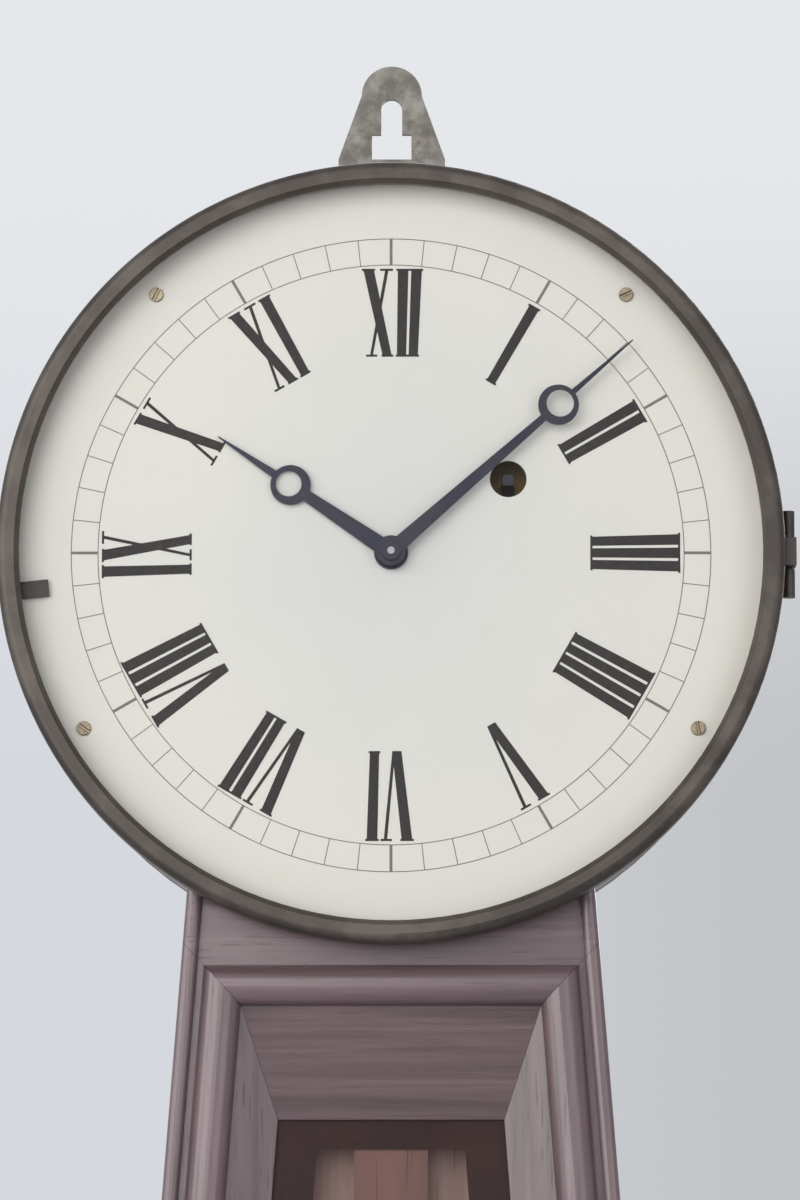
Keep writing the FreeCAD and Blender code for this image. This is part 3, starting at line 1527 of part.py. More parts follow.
def make_pendulum():
    """Cock, spring, keystone ring, wooden rod, bob and rating nut."""
    cock = new_body("suspension_cock", z=dial_z)
    leg_low = s.pallet_rise + s.cock_gap
    leg_high = leg_low + s.cock_leg + s.cock_gap
    top = leg_high + s.cock_height
    thick = s.stem_thick / 2
    front = s.pendulum_depth + thick * 2
    half = s.cock_width / 2
    pad(cock, outline(new_sketch(cock, offset=front_plate_front), box_points(-half, half, leg_high, top)),
        front - front_plate_front)
    narrow = s.stem_width / 2
    pad(cock, outline(new_sketch(cock, offset=s.pendulum_depth - thick),
                      box_points(-narrow, narrow, leg_low, leg_high)), s.stem_thick)
    strip = new_body("suspension_spring", z=dial_z)
    half = s.spring_strip_thick / 2
    low = s.pallet_rise - s.spring_drop
    pad(strip, outline(new_sketch(strip, offset=s.pendulum_depth - s.spring_strip_width / 2),
                       box_points(-half, half, low, s.pallet_rise)), s.spring_strip_width)
    stem = new_body("keystone_ring", z=dial_z)
    back = s.pendulum_depth - thick
    ring_mid = (s.keystone_inner + s.keystone_outer) / 2
    high = low + s.spring_grip
    pad(stem, outline(new_sketch(stem, offset=back), box_points(-narrow, narrow, ring_mid, high)), s.stem_thick)
    pad(stem, ring(new_sketch(stem, offset=back), s.keystone_outer), s.stem_thick)
    pad(stem, outline(new_sketch(stem, offset=back),
                      box_points(-narrow, narrow, -s.keystone_tail, -ring_mid)), s.stem_thick)
    bored(stem, [(s.keystone_inner, ZERO, ZERO)])
    grip = half + s.fit
    pocket(stem, outline(new_sketch(stem), box_points(-grip, grip, low, high)))
    slot = s.crutch_pin_radius + s.crutch_clear
    slot_z = s.pallet_rise - s.crutch_drop
    pocket(stem, outline(new_sketch(stem), box_points(-slot, slot, slot_z - slot * 2, slot_z + slot * 2)))
    wood = new_body("pendulum_rod", z=dial_z)
    wide = s.rod_width / 2
    rod_top = s.tail_grip - s.keystone_tail
    back = s.pendulum_depth - s.rod_thick / 2
    pad(wood, outline(new_sketch(wood, offset=back), box_points(-wide, wide, -rod_foot_drop, rod_top)),
        s.rod_thick)
    notch = narrow + s.fit
    pocket(wood, outline(new_sketch(wood), box_points(-notch, notch, -s.keystone_tail, rod_top)))
    bore = ring(new_sketch(wood, "XY_Plane", -rod_foot_drop), s.rating_radius + s.fit, ZERO, -s.pendulum_depth)
    pocket(wood, bore, s.rating_grip, forward=True)
    bob = new_body("pendulum_bob", z=dial_z - bob_drop)
    rise = (s.bob_thick - s.bob_edge) / 2
    curve = (s.bob_radius * s.bob_radius + rise * rise) / rise / 2
    mid = s.pendulum_depth
    turned(bob, [
        (ZERO, mid - s.bob_thick / 2, curve),
        (s.bob_radius, mid - s.bob_edge / 2),
        (s.bob_radius, mid + s.bob_edge / 2, curve),
        (ZERO, mid + s.bob_thick / 2),
    ])
    hole = ring(new_sketch(bob, "XY_Plane"), s.rating_radius + s.rating_run, ZERO, -mid)
    pocket(bob, hole)
    screw_foot = -(bob_drop + s.bob_radius + s.rating_tail)
    screw = new_body("rating_screw", z=dial_z, depth=mid)
    turned(screw, [
        (ZERO, screw_foot),
        (s.rating_radius, screw_foot),
        (s.rating_radius, s.rating_grip - rod_foot_drop - s.fit),
        (ZERO, s.rating_grip - rod_foot_drop - s.fit),
    ], "XZ_Plane")
    nut = new_body("rating_nut", z=dial_z - bob_drop - s.bob_radius, depth=mid)
    bore = s.rating_radius + s.rating_run
    turned(nut, [
        (bore, -s.nut_height),
        (s.nut_shoulder, -s.nut_height),
        (s.nut_radius, -s.nut_height / 2),
        (s.nut_radius, -s.joint_gap),
        (bore, -s.joint_gap),
    ], "XZ_Plane")


def make_weight():
    """Line, pulley, stirrup and the flat weight that hangs behind the baffle."""
    for label, x, high in (
        ("weight_line", line_x, great_z),
        ("weight_line_fixed", fixed_line_x, -(s.line_post_drop + s.line_post_radius + s.fit)),
    ):
        strand = new_body(label, x=x, z=dial_z - s.pulley_drop, depth=s.line_depth)
        circle = ring(new_sketch(strand, "XY_Plane"), s.line_radius)
        pad(strand, circle, high + s.pulley_drop)
    wheel = new_body("pulley", x=pulley_x, z=dial_z - s.pulley_drop)
    half = s.pulley_width / 2
    back = s.line_depth - half
    front = s.line_depth + half
    bore = s.pulley_pin_radius + s.pivot_run
    flank = s.line_radius + s.line_gap
    turned(wheel, [
        (bore, back),
        (s.pulley_radius, back),
        (s.pulley_groove - s.line_gap, s.line_depth - flank),
        (s.pulley_groove - s.line_gap, s.line_depth + flank),
        (s.pulley_radius, front),
        (bore, front),
    ])
    stirrup = new_body("pulley_stirrup", x=pulley_x, z=dial_z - s.pulley_drop)
    wide = s.stirrup_width / 2
    bar_top = -(s.pulley_radius + s.stirrup_bar_gap)
    bar_low = bar_top - s.stirrup_thick
    cheek_back = back - s.stirrup_gap - s.stirrup_thick
    cheek_front = front + s.stirrup_gap
    for depth in (cheek_back, cheek_front):
        cheek = box_points(-wide, wide, bar_low, wide)
        pad(stirrup, outline(new_sketch(stirrup, offset=depth), cheek), s.stirrup_thick)
        if depth is cheek_back:
            bar = box_points(-wide, wide, bar_low, bar_top)
            pad(stirrup, outline(new_sketch(stirrup, offset=depth), bar),
                cheek_front - cheek_back + s.stirrup_thick)
    pin = ring(new_sketch(stirrup, offset=cheek_back), s.pulley_pin_radius)
    pad(stirrup, pin, cheek_front - cheek_back + s.stirrup_thick)
    shank = ring(new_sketch(stirrup, "XY_Plane", s.pulley_drop - weight_top_drop), s.line_post_radius,
                 ZERO, -s.line_depth)
    pad(stirrup, shank, weight_top_drop - s.pulley_drop + bar_low)
    mass = new_body("weight", x=pulley_x, z=dial_z)
    half = s.weight_width / 2
    low = -(weight_top_drop + s.weight_height)
    block = pad(mass, outline(new_sketch(mass, offset=s.line_depth - s.weight_depth / 2),
                              box_points(-half, half, low, -weight_top_drop)), s.weight_depth)
    fillet(mass, block, s.weight_curve, lambda edge: edge.BoundBox.ZLength > s.weight_curve.value)


make_backboard()
make_hanger()
make_hanger_screws()
make_drum()
make_dial()
make_dial_screws()
make_bezel()
make_dial_glass()
make_catch()
make_bezel_hinge()
make_throat()
make_baffle()
make_box()
make_door()
make_door_hinges()
make_turn_catch()
make_plates()
make_pillars()
make_great_wheel()
make_barrel()
make_click()
make_train()
make_escapement()
make_motion_work()
make_hands()
make_pendulum()
make_weight()
document.recompute()

faults = [thing.Name for thing in document.Objects if "Invalid" in thing.State or "Error" in thing.State]
for thing in parts:
    if thing.Shape.isNull() or not thing.Shape.isValid() or not thing.Shape.Solids:
        faults.append(thing.Label)
if faults:
    raise RuntimeError(f"these are not sound: {faults}")
os.makedirs("parts", exist_ok=True)
for thing in parts:
    thing.Shape.exportStep(f"parts/{thing.Label}.step")
print(len(parts), "nodes written")
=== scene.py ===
import math

import bmesh
import bpy
from mathutils import Matrix, Vector


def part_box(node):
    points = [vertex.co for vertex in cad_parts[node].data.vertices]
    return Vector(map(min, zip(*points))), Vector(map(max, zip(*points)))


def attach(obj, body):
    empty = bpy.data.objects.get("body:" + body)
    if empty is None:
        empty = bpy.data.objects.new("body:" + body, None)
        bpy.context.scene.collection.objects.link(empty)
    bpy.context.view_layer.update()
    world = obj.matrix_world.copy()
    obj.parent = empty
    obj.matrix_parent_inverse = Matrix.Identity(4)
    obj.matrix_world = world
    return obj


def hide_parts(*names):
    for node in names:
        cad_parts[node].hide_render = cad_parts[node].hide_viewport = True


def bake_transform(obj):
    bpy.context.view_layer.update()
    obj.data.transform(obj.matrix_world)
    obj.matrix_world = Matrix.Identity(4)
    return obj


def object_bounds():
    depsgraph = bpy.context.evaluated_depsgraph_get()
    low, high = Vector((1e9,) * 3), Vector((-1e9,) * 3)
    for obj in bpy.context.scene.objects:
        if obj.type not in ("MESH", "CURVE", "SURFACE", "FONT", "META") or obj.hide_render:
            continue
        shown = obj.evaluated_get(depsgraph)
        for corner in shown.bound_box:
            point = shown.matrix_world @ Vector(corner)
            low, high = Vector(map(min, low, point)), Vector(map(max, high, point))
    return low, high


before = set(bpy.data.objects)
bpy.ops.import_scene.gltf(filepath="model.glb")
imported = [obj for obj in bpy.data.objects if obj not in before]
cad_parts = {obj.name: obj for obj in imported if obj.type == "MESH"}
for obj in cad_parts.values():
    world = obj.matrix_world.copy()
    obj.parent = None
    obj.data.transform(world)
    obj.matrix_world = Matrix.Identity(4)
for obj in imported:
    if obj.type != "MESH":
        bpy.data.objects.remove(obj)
cad_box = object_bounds()

# Sizes in metres, from the hook's axis at the wall, with x to the right and z up

MM = 0.001
DIAL_LOW, DIAL_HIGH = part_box("dial_plate")
DIAL_FACE = DIAL_LOW.y
DIAL_Z = (DIAL_LOW.z + DIAL_HIGH.z) / 2
DIAL_REACH = DIAL_HIGH.x
BOB_LOW, BOB_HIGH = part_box("pendulum_bob")
BOB_Z = (BOB_LOW.z + BOB_HIGH.z) / 2
FLARE = 0.076837
THROAT_TOP_HALF = 84.5 * MM
THROAT_TOP_Z = DIAL_Z - 151 * MM
SIGHT_INSET = 44.4 * MM
SIGHT_TOP_Z = DIAL_Z - 231.7 * MM
SIGHT_FOOT_Z = DIAL_Z - 555.6 * MM
SIDE_SPLAY = 18.5 * MM
TOP_SPLAY = 46 * MM
PAINT_THICK = 0.06 * MM


# Camera and light

CAMERA_PLACE = (7 * MM, -2400 * MM, DIAL_Z - 340 * MM)
CAMERA_AIM = (3.7 * MM, -100 * MM, DIAL_Z - 20.5 * MM)
CAMERA_LENS = 170
CAMERA_SENSOR = 36
LAMP_AIM = (0, -0.06, -0.5)
WARM_WHITE = (1.0, 0.99, 0.97)
COOL_WHITE = (0.97, 0.98, 1.0)
PLAIN_WHITE = (1.0, 1.0, 1.0)
# Name, place, width, power and colour
LAMPS = (
    ("window_left", (-1.3, -3.0, 0.3), 2.6, 72, WARM_WHITE),
    ("fill_right", (1.6, -2.8, -0.2), 2.0, 18, COOL_WHITE),
    ("window_side", (-2.4, -1.3, 0.1), 1.2, 16, WARM_WHITE),
    ("fill_behind", (0.6, 2.4, 0.8), 2.0, 60, PLAIN_WHITE),
)


def turned_towards(place, aim):
    """The rotation of a camera or a lamp that looks from its place to its aim."""
    return (Vector(aim) - Vector(place)).to_track_quat("-Z", "Y").to_euler()


def set_camera():
    """A long lens below the dial that looks slightly up at the head of the clock."""
    camera = bpy.data.objects.new("camera", bpy.data.cameras.new("camera"))
    bpy.context.collection.objects.link(camera)
    camera.location = CAMERA_PLACE
    camera.rotation_euler = turned_towards(CAMERA_PLACE, CAMERA_AIM)
    camera.data.lens = CAMERA_LENS
    camera.data.sensor_width = CAMERA_SENSOR
    bpy.context.scene.camera = camera


def set_lamps():
    """Area lamps to the left, to the right and behind, all turned towards the clock."""
    for name, place, width, power, colour in LAMPS:
        lamp = bpy.data.objects.new(name, bpy.data.lights.new(name, "AREA"))
        bpy.context.collection.objects.link(lamp)
        lamp.location = place
        lamp.rotation_euler = turned_towards(place, LAMP_AIM)
        lamp.data.size = width
        lamp.data.energy = power
        lamp.data.color = colour


set_camera()
set_lamps()
bpy.context.scene.view_settings.view_transform = "Standard"


# Material workshop

def paint(red, green, blue):
    """A colour as the eye reads it, 0 to 255, made linear for the shaders."""
    steps = [value / 255 for value in (red, green, blue)]
    linear = [v / 12.92 if v <= 0.04045 else ((v + 0.055) / 1.055) ** 2.4 for v in steps]
    return (*linear, 1.0)


class Wire:
    """A value on its way through a finish. Sums on it add Math nodes."""

    def __init__(self, finish, socket):
        self.finish = finish
        self.socket = socket

    def sum(self, operation, *values):
        return self.finish.node("ShaderNodeMath", {"operation": operation}, values)

    def __add__(self, other):
        return self.sum("ADD", self, other)

    def __sub__(self, other):
        return self.sum("SUBTRACT", self, other)

    def __rsub__(self, other):
        return self.sum("SUBTRACT", other, self)

    def __mul__(self, other):
        return self.sum("MULTIPLY", self, other)

    def __gt__(self, other):
        return self.sum("GREATER_THAN", self, other)

    def __abs__(self):
        return self.sum("ABSOLUTE", self)

    def root(self):
        return self.sum("SQRT", self)

    def wave(self):
        return self.sum("SINE", self)

    def least(self, other):
        return self.sum("MINIMUM", self, other)

    def most(self, other):
        return self.sum("MAXIMUM", self, other)

    def fade(self, low, high):
        """0 below low, 1 above high and a soft step between them."""
        return self.finish.node("ShaderNodeMapRange", {"interpolation_type": "SMOOTHSTEP"},
                                {"Value": self, "From Min": low, "From Max": high})

    __radd__ = __add__
    __rmul__ = __mul__


class Finish:
    """One procedural material, or the world, and the nodes that make it."""

    def __init__(self, name, holder=None):
        self.material = holder or bpy.data.materials.new(name)
        self.material.use_nodes = True
        self.tree = self.material.node_tree
        self.tree.nodes.clear()

    def node(self, kind, settings=None, values=(), output=0):
        made = self.tree.nodes.new(kind)
        for name, value in (settings or {}).items():
            setattr(made, name, value)
        pairs = values.items() if isinstance(values, dict) else enumerate(values)
        for key, value in pairs:
            if isinstance(value, Wire):
                self.tree.links.new(value.socket, made.inputs[key])
            else:
                made.inputs[key].default_value = value
        return Wire(self, made.outputs[output]) if made.outputs else None

    def place(self):
        return self.node("ShaderNodeTexCoord", output="Object")

    def axes(self, place):
        split = self.node("ShaderNodeSeparateXYZ", values=[place]).socket.node
        return [Wire(self, split.outputs[axis]) for axis in "XYZ"]

    def joined(self, x, y, z):
        return self.node("ShaderNodeCombineXYZ", values=[x, y, z])

    def stretched(self, place, across):
        return self.node("ShaderNodeVectorMath", {"operation": "MULTIPLY"}, [place, across])

    def cloud(self, place, scale=1.0, detail=3.0, rough=0.5, swirl=0.0):
        """Noise around a half, with scale as its number of features in a metre."""
        return self.node("ShaderNodeTexNoise", values={
            "Vector": place, "Scale": scale, "Detail": detail, "Roughness": rough,
            "Distortion": swirl})

    def mixed(self, share, first, second):
        return self.node("ShaderNodeMix", {"data_type": "RGBA"}, {0: share, 6: first, 7: second},
                         output=2)

    def swapped(self, share, first, second):
        return self.node("ShaderNodeMix", {"data_type": "VECTOR"}, {0: share, 4: first, 5: second},
                         output=1)

    def bump(self, height, depth):
        return self.node("ShaderNodeBump",
                         values={"Height": height, "Distance": depth, "Strength": 1.0})

    def clear(self):
        return self.node("ShaderNodeBsdfTransparent", values=[(1.0, 1.0, 1.0, 1.0)])

    def surface(self, **values):
        named = {key.replace("_", " ").title().replace("Ior", "IOR"): value
                 for key, value in values.items()}
        return self.node("ShaderNodeBsdfPrincipled", values=named)

    def done(self, shader):
        self.node("ShaderNodeOutputMaterial", values=[shader])
        return self.material


# Finishes of the wood

FIGURE_SCALE = (150, 150, 5)
BROAD_SCALE = (26, 26, 2.2)
PORE_SCALE = (900, 900, 34)
PORE_TONE = 0.45
BOARD_FINENESS = 0.7
DRUM_SCALE = (160, 30, 160)
POLISH_RELIEF = 0.06 * MM
BOARD_RELIEF = 0.12 * MM
DRUM_RELIEF = 0.05 * MM
MAHOGANY = (paint(62, 45, 47), paint(108, 86, 90))
# Painted sheen: a paler tone on the outer bead and half-round of the mitred frames stands in for
# the gloss that the light raises on them.
MOULDING_SHEEN_TONE = paint(196, 172, 182)
MOULDING_SHEEN_SHARE = 0.1
MOULDING_SHEEN_FULL = SIGHT_INSET - SIDE_SPLAY - 2 * MM
MOULDING_SHEEN_GONE = SIGHT_INSET - SIDE_SPLAY + 1 * MM
SEAM_DIRT = paint(34, 22, 21)
SEAM_SHARE = 0.75
SEAM_CORE = 0.1 * MM
SEAM_EDGE = 0.4 * MM
RAIL_SHIFT = 370 * MM
BAFFLE_TONES = (paint(136, 99, 92), paint(171, 132, 124))
BACKBOARD_TONES = (paint(92, 68, 58), paint(140, 110, 94))
ROD_TONES = (paint(80, 41, 34), paint(104, 59, 50))
DRUM_TONES = (paint(38, 30, 29), paint(60, 48, 45))
DRUM_WORN = paint(96, 78, 70)


def grained(finish, place, tones, fineness=1.0):
    """Colour, roughness and height of straight mahogany grain along z in the given place."""
    dark, light = tones
    figure = finish.cloud(finish.stretched(place, FIGURE_SCALE), fineness,
                          detail=5, rough=0.62, swirl=0.5)
    broad = finish.cloud(finish.stretched(place, BROAD_SCALE), fineness,
                         detail=2, rough=0.5, swirl=0.8)
    pores = finish.cloud(finish.stretched(place, PORE_SCALE), fineness, detail=2, rough=0.7)
    pore = pores.fade(0.60, 0.72)
    tone = (figure * 0.65 + broad * 0.35).fade(0.30, 0.72)
    colour = finish.mixed(tone, dark, light)
    darkest = (*(value * PORE_TONE for value in dark[:3]), 1.0)
    colour = finish.mixed(pore * 0.45, colour, darkest)
    roughness = 0.27 + 0.10 * broad + 0.16 * pore
    return colour, roughness, figure * 0.25 - pore


def polished_wood(finish, place, seam=None, painted_sheen=None):
    """Polished mahogany, darker along a mitre's seam, with a painted sheen, a paler tone, on its
    outer mouldings.
    """
    colour, roughness, height = grained(finish, place, MAHOGANY)
    # Painted sheen: the outer mouldings are paled towards the tone of their highlight.
    if painted_sheen is not None:
        colour = finish.mixed(painted_sheen * MOULDING_SHEEN_SHARE, colour, MOULDING_SHEEN_TONE)
    if seam is not None:
        colour = finish.mixed(seam * SEAM_SHARE, colour, SEAM_DIRT)
    return finish.done(finish.surface(
        base_color=colour, roughness=roughness, normal=finish.bump(height, POLISH_RELIEF),
        coat_weight=0.4, coat_roughness=0.16))


def straight_mahogany(name, along):
    """Grain along z, or along x for the boards that lie across the case."""
    finish = Finish(name)
    place = finish.place()
    if along == "x":
        x, y, z = finish.axes(place)
        place = finish.joined(z, y, x)
    return polished_wood(finish, place)


def mitred_mahogany(name, rail_of):
    """Upright grain in the stiles and level grain in the rails, with a fine line at each mitre and
    a painted sheen on the outer mouldings.
    """
    finish = Finish(name)
    place = finish.place()
    x, y, z = finish.axes(place)
    lead, inset = rail_of(abs(x), z)
    level = finish.joined(z + RAIL_SHIFT, y, x)
    seam = 1 - abs(lead).fade(SEAM_CORE, SEAM_EDGE)
    # Painted sheen on the outer bead and half-round, fading out before the splay.
    painted_sheen = 1 - inset.fade(MOULDING_SHEEN_FULL, MOULDING_SHEEN_GONE)
    return polished_wood(finish, finish.swapped(lead > 0, place, level), seam, painted_sheen)


def throat_rails(x, z):
    """How far a point lies into the throat frame's rails, below 0 in its stiles, and its inset."""
    half = THROAT_TOP_HALF - SIGHT_INSET + (THROAT_TOP_Z - z) * FLARE
    across = x - half
    above = z - SIGHT_TOP_Z
    top = above.least(TOP_SPLAY) * (SIDE_SPLAY / TOP_SPLAY) + (above - TOP_SPLAY).most(0.0)
    lead = top.most(SIGHT_FOOT_Z - z) - across
    return lead, SIGHT_INSET - across - lead.most(0.0)


def door_rails(x, z):
    """How far a point lies into the door frame's rails, below 0 in its stiles, and its inset."""
    low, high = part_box("door_frame")
    middle = (low.z + high.z) / 2
    lead = (abs(z - middle) - (high.z - low.z) / 2) - (x - high.x)
    return lead, high.x - x - lead.most(0.0)


def board_wood(name, tones, dullness):
    """Plain boards with an open grain."""
    finish = Finish(name)
    colour, roughness, height = grained(finish, finish.place(), tones, BOARD_FINENESS)
    return finish.done(finish.surface(base_color=colour, roughness=roughness + dullness,
                                      normal=finish.bump(height, BOARD_RELIEF)))


def stained_drum():
    """Nearly black stain on the turned shell, with a little wood showing through."""
    finish = Finish("stained_drum")
    place = finish.place()
    grain = finish.cloud(finish.stretched(place, DRUM_SCALE), detail=4, rough=0.6, swirl=0.4)
    worn = finish.cloud(place, scale=24, detail=4, rough=0.6).fade(0.55, 0.8)
    colour = finish.mixed(grain.fade(0.3, 0.75), *DRUM_TONES)
    colour = finish.mixed(worn * 0.35, colour, DRUM_WORN)
    return finish.done(finish.surface(
        base_color=colour, roughness=0.34 + 0.2 * worn, normal=finish.bump(grain, DRUM_RELIEF),
        coat_weight=0.25, coat_roughness=0.25))


# Finishes of the metal

BEZEL_RINGS = 2600
BEZEL_RELIEF = 0.02 * MM
BEZEL_TONES = (paint(64, 58, 54), paint(90, 83, 77))
LIP_TONE = paint(104, 94, 84)
LIP_FULL = 153 * MM
LIP_GONE = 154.8 * MM
BRUSH_SCALE = (60, 1400, 1400)
BRUSH_RELIEF = 0.02 * MM
BOB_RINGS = 700
BOB_RELIEF = 0.004 * MM
BOB_TONES = (paint(184, 156, 106), paint(158, 129, 82))
IRON_TONES = (paint(96, 92, 86), paint(136, 133, 127))
IRON_RUST = paint(104, 78, 60)
IRON_RELIEF = 0.08 * MM
WEIGHT_TONES = (paint(52, 51, 51), paint(84, 76, 70))
WEIGHT_RELIEF = 0.3 * MM
STEEL_TONES = (paint(150, 150, 152), paint(118, 117, 116))
BRASS_TONES = (paint(198, 166, 104), paint(156, 122, 70))
PLATE_TONES = (paint(132, 107, 66), paint(92, 72, 44))
SCREW_TONES = (paint(146, 134, 112), paint(104, 94, 80))
BLUED_TONES = (paint(36, 38, 50), paint(52, 50, 58))
CATCH_TONES = (paint(46, 42, 40), paint(62, 56, 52))


def from_axis(finish, axis_z):
    """The distance of a point from an axis at x = 0 that runs from the wall to the front."""
    x, y, z = finish.axes(finish.place())
    z = z - axis_z
    return (x * x + z * z).root()


def lathe_rings(finish, radius, count):
    """The marks that a lathe leaves round an axis, as noise along the radius."""
    return finish.cloud(finish.joined(radius * count, 0.0, 0.0), detail=2)


def bronzed_bezel():
    """Dark bronzed brass, rubbed a little brighter on the inner lip and in patches."""
    finish = Finish("bronzed_bezel")
    place = finish.place()
    radius = from_axis(finish, DIAL_Z)
    turning = lathe_rings(finish, radius, BEZEL_RINGS)
    patches = finish.cloud(place, scale=34, detail=5, rough=0.62).fade(0.42, 0.70)
    lip = 1 - radius.fade(LIP_FULL, LIP_GONE)
    colour = finish.mixed(patches, *BEZEL_TONES)
    colour = finish.mixed(lip * 0.4, colour, LIP_TONE)
    return finish.done(finish.surface(
        base_color=colour, metallic=0.55 + 0.2 * lip,
        roughness=0.42 + 0.12 * patches - 0.1 * lip, normal=finish.bump(turning, BEZEL_RELIEF)))


def plain_metal(name, tones, roughness, metallic=1.0):
    """A metal with brushing along x and soft tarnish."""
    finish = Finish(name)
    place = finish.place()
    brushing = finish.cloud(finish.stretched(place, BRUSH_SCALE), detail=2, rough=0.6)
    tarnish = finish.cloud(place, scale=40, detail=5, rough=0.6).fade(0.35, 0.72)
    colour = finish.mixed(tarnish * 0.8 + brushing * 0.2, *tones)
    return finish.done(finish.surface(
        base_color=colour, metallic=metallic,
        roughness=roughness + 0.14 * tarnish + 0.05 * brushing,
        normal=finish.bump(brushing, BRUSH_RELIEF)))


def turned_bob():
    """Lacquered brass with the fine rings of the lathe round the bob's middle."""
    finish = Finish("bob_brass")
    place = finish.place()
    rings = lathe_rings(finish, from_axis(finish, BOB_Z), BOB_RINGS)
    tarnish = finish.cloud(place, scale=22, detail=4, rough=0.55).fade(0.30, 0.90)
    colour = finish.mixed(tarnish * 0.8 + rings * 0.2, *BOB_TONES)
    return finish.done(finish.surface(
        base_color=colour, metallic=1.0, roughness=0.31 + 0.06 * tarnish,
        normal=finish.bump(rings, BOB_RELIEF)))


def aged_hanger():
    """Dull iron with grey bloom and brown rust."""
    finish = Finish("aged_hanger")
    place = finish.place()
    bloom = finish.cloud(place, scale=120, detail=6, rough=0.66).fade(0.35, 0.70)
    rust = finish.cloud(place, scale=55, detail=6, rough=0.7, swirl=0.5).fade(0.52, 0.70)
    colour = finish.mixed(bloom, *IRON_TONES)
    colour = finish.mixed(rust * 0.6, colour, IRON_RUST)
    return finish.done(finish.surface(
        base_color=colour, metallic=0.5 - 0.3 * rust, roughness=0.5 + 0.25 * rust,
        normal=finish.bump(bloom, IRON_RELIEF)))


def cast_iron():
    """The gritty, faintly stained skin of a casting."""
    finish = Finish("cast_iron_weight")
    place = finish.place()
    grit = finish.cloud(place, scale=480, detail=5, rough=0.7)
    stain = finish.cloud(place, scale=26, detail=4, rough=0.6).fade(0.4, 0.75)
    colour = finish.mixed(stain, *WEIGHT_TONES)
    return finish.done(finish.surface(
        base_color=colour, metallic=0.5, roughness=0.55 + 0.2 * grit,
        normal=finish.bump(grit, WEIGHT_RELIEF)))


# Finishes of the dial, the glass and the line

DIAL_TONES = (paint(206, 207, 204), paint(219, 216, 208))
DIAL_SPECK = paint(150, 138, 120)
DIAL_RELIEF = 0.03 * MM
NUMERAL_TONE = paint(47, 43, 43)
TRACK_TONE = paint(118, 114, 110)
BORDER_TONES = (paint(42, 20, 19), paint(55, 30, 28))
GLASS_GLOSS = paint(206, 206, 206)
GLASS_IOR = 1.45
GLASS_DUST = 0.006
LINE_TONES = (paint(104, 82, 54), paint(158, 132, 92))
LINE_RELIEF = 0.1 * MM
TWIST_RISE = 2600
TWIST_ROUND = 1800


def dial_white():
    """Old white paint, cool in the middle and faintly yellowed towards the edge, in clouds."""
    finish = Finish("dial_white")
    place = finish.place()
    outwards = from_axis(finish, DIAL_Z) * (1 / DIAL_REACH)
    broad = finish.cloud(place, scale=9, detail=4, rough=0.55)
    clouds = (broad * 0.6 + outwards * 0.6).fade(0.30, 0.90)
    specks = finish.cloud(place, scale=700, detail=2, rough=0.5).fade(0.70, 0.78)
    colour = finish.mixed(clouds, *DIAL_TONES)
    colour = finish.mixed(specks * 0.25, colour, DIAL_SPECK)
    brushed = finish.cloud(place, scale=260, detail=4)
    return finish.done(finish.surface(base_color=colour, roughness=0.42 + 0.1 * clouds,
                                      normal=finish.bump(brushed, DIAL_RELIEF)))


def dial_ink(name, tone):
    """Black paint, a little thin in places."""
    finish = Finish(name)
    thin = finish.cloud(finish.place(), scale=420, detail=3, rough=0.6).fade(0.50, 0.90)
    lighter = (*(min(1.0, value * 1.7 + 0.01) for value in tone[:3]), 1.0)
    return finish.done(finish.surface(
        base_color=finish.mixed(thin, tone, lighter), roughness=0.5 + 0.1 * thin,
        specular_ior_level=0.15))


def border_black():
    """The dark border painted on the back of the glass."""
    finish = Finish("border_black")
    clouds = finish.cloud(finish.place(), scale=30, detail=4, rough=0.6).fade(0.35, 0.75)
    return finish.done(finish.surface(
        base_color=finish.mixed(clouds, *BORDER_TONES), roughness=0.4 + 0.1 * clouds,
        specular_ior_level=0.1))


def clear_glass(name):
    """Clear glass that shows its surface by reflection, with a little dust."""
    finish = Finish(name)
    film = finish.cloud(finish.place(), scale=18, detail=4, rough=0.6).fade(0.4, 0.9)
    clear = finish.clear()
    gloss = finish.surface(base_color=GLASS_GLOSS, roughness=0.05 + 0.05 * film)
    edge = finish.node("ShaderNodeFresnel", values={"IOR": GLASS_IOR})
    share = (edge * 0.3 + GLASS_DUST * film).least(1.0)
    return finish.done(finish.node("ShaderNodeMixShader", values=[share, clear, gloss]))


def gut_line():
    """Twisted gut, light on the crowns of its strands."""
    finish = Finish("gut_line")
    x, y, z = finish.axes(finish.place())
    twist = ((z * TWIST_RISE + x * TWIST_ROUND).wave() * 0.5 + 0.5).fade(0.2, 0.8)
    colour = finish.mixed(twist, *LINE_TONES)
    return finish.done(finish.surface(base_color=colour, roughness=0.6 + 0.1 * twist,
                                      normal=finish.bump(twist, LINE_RELIEF)))


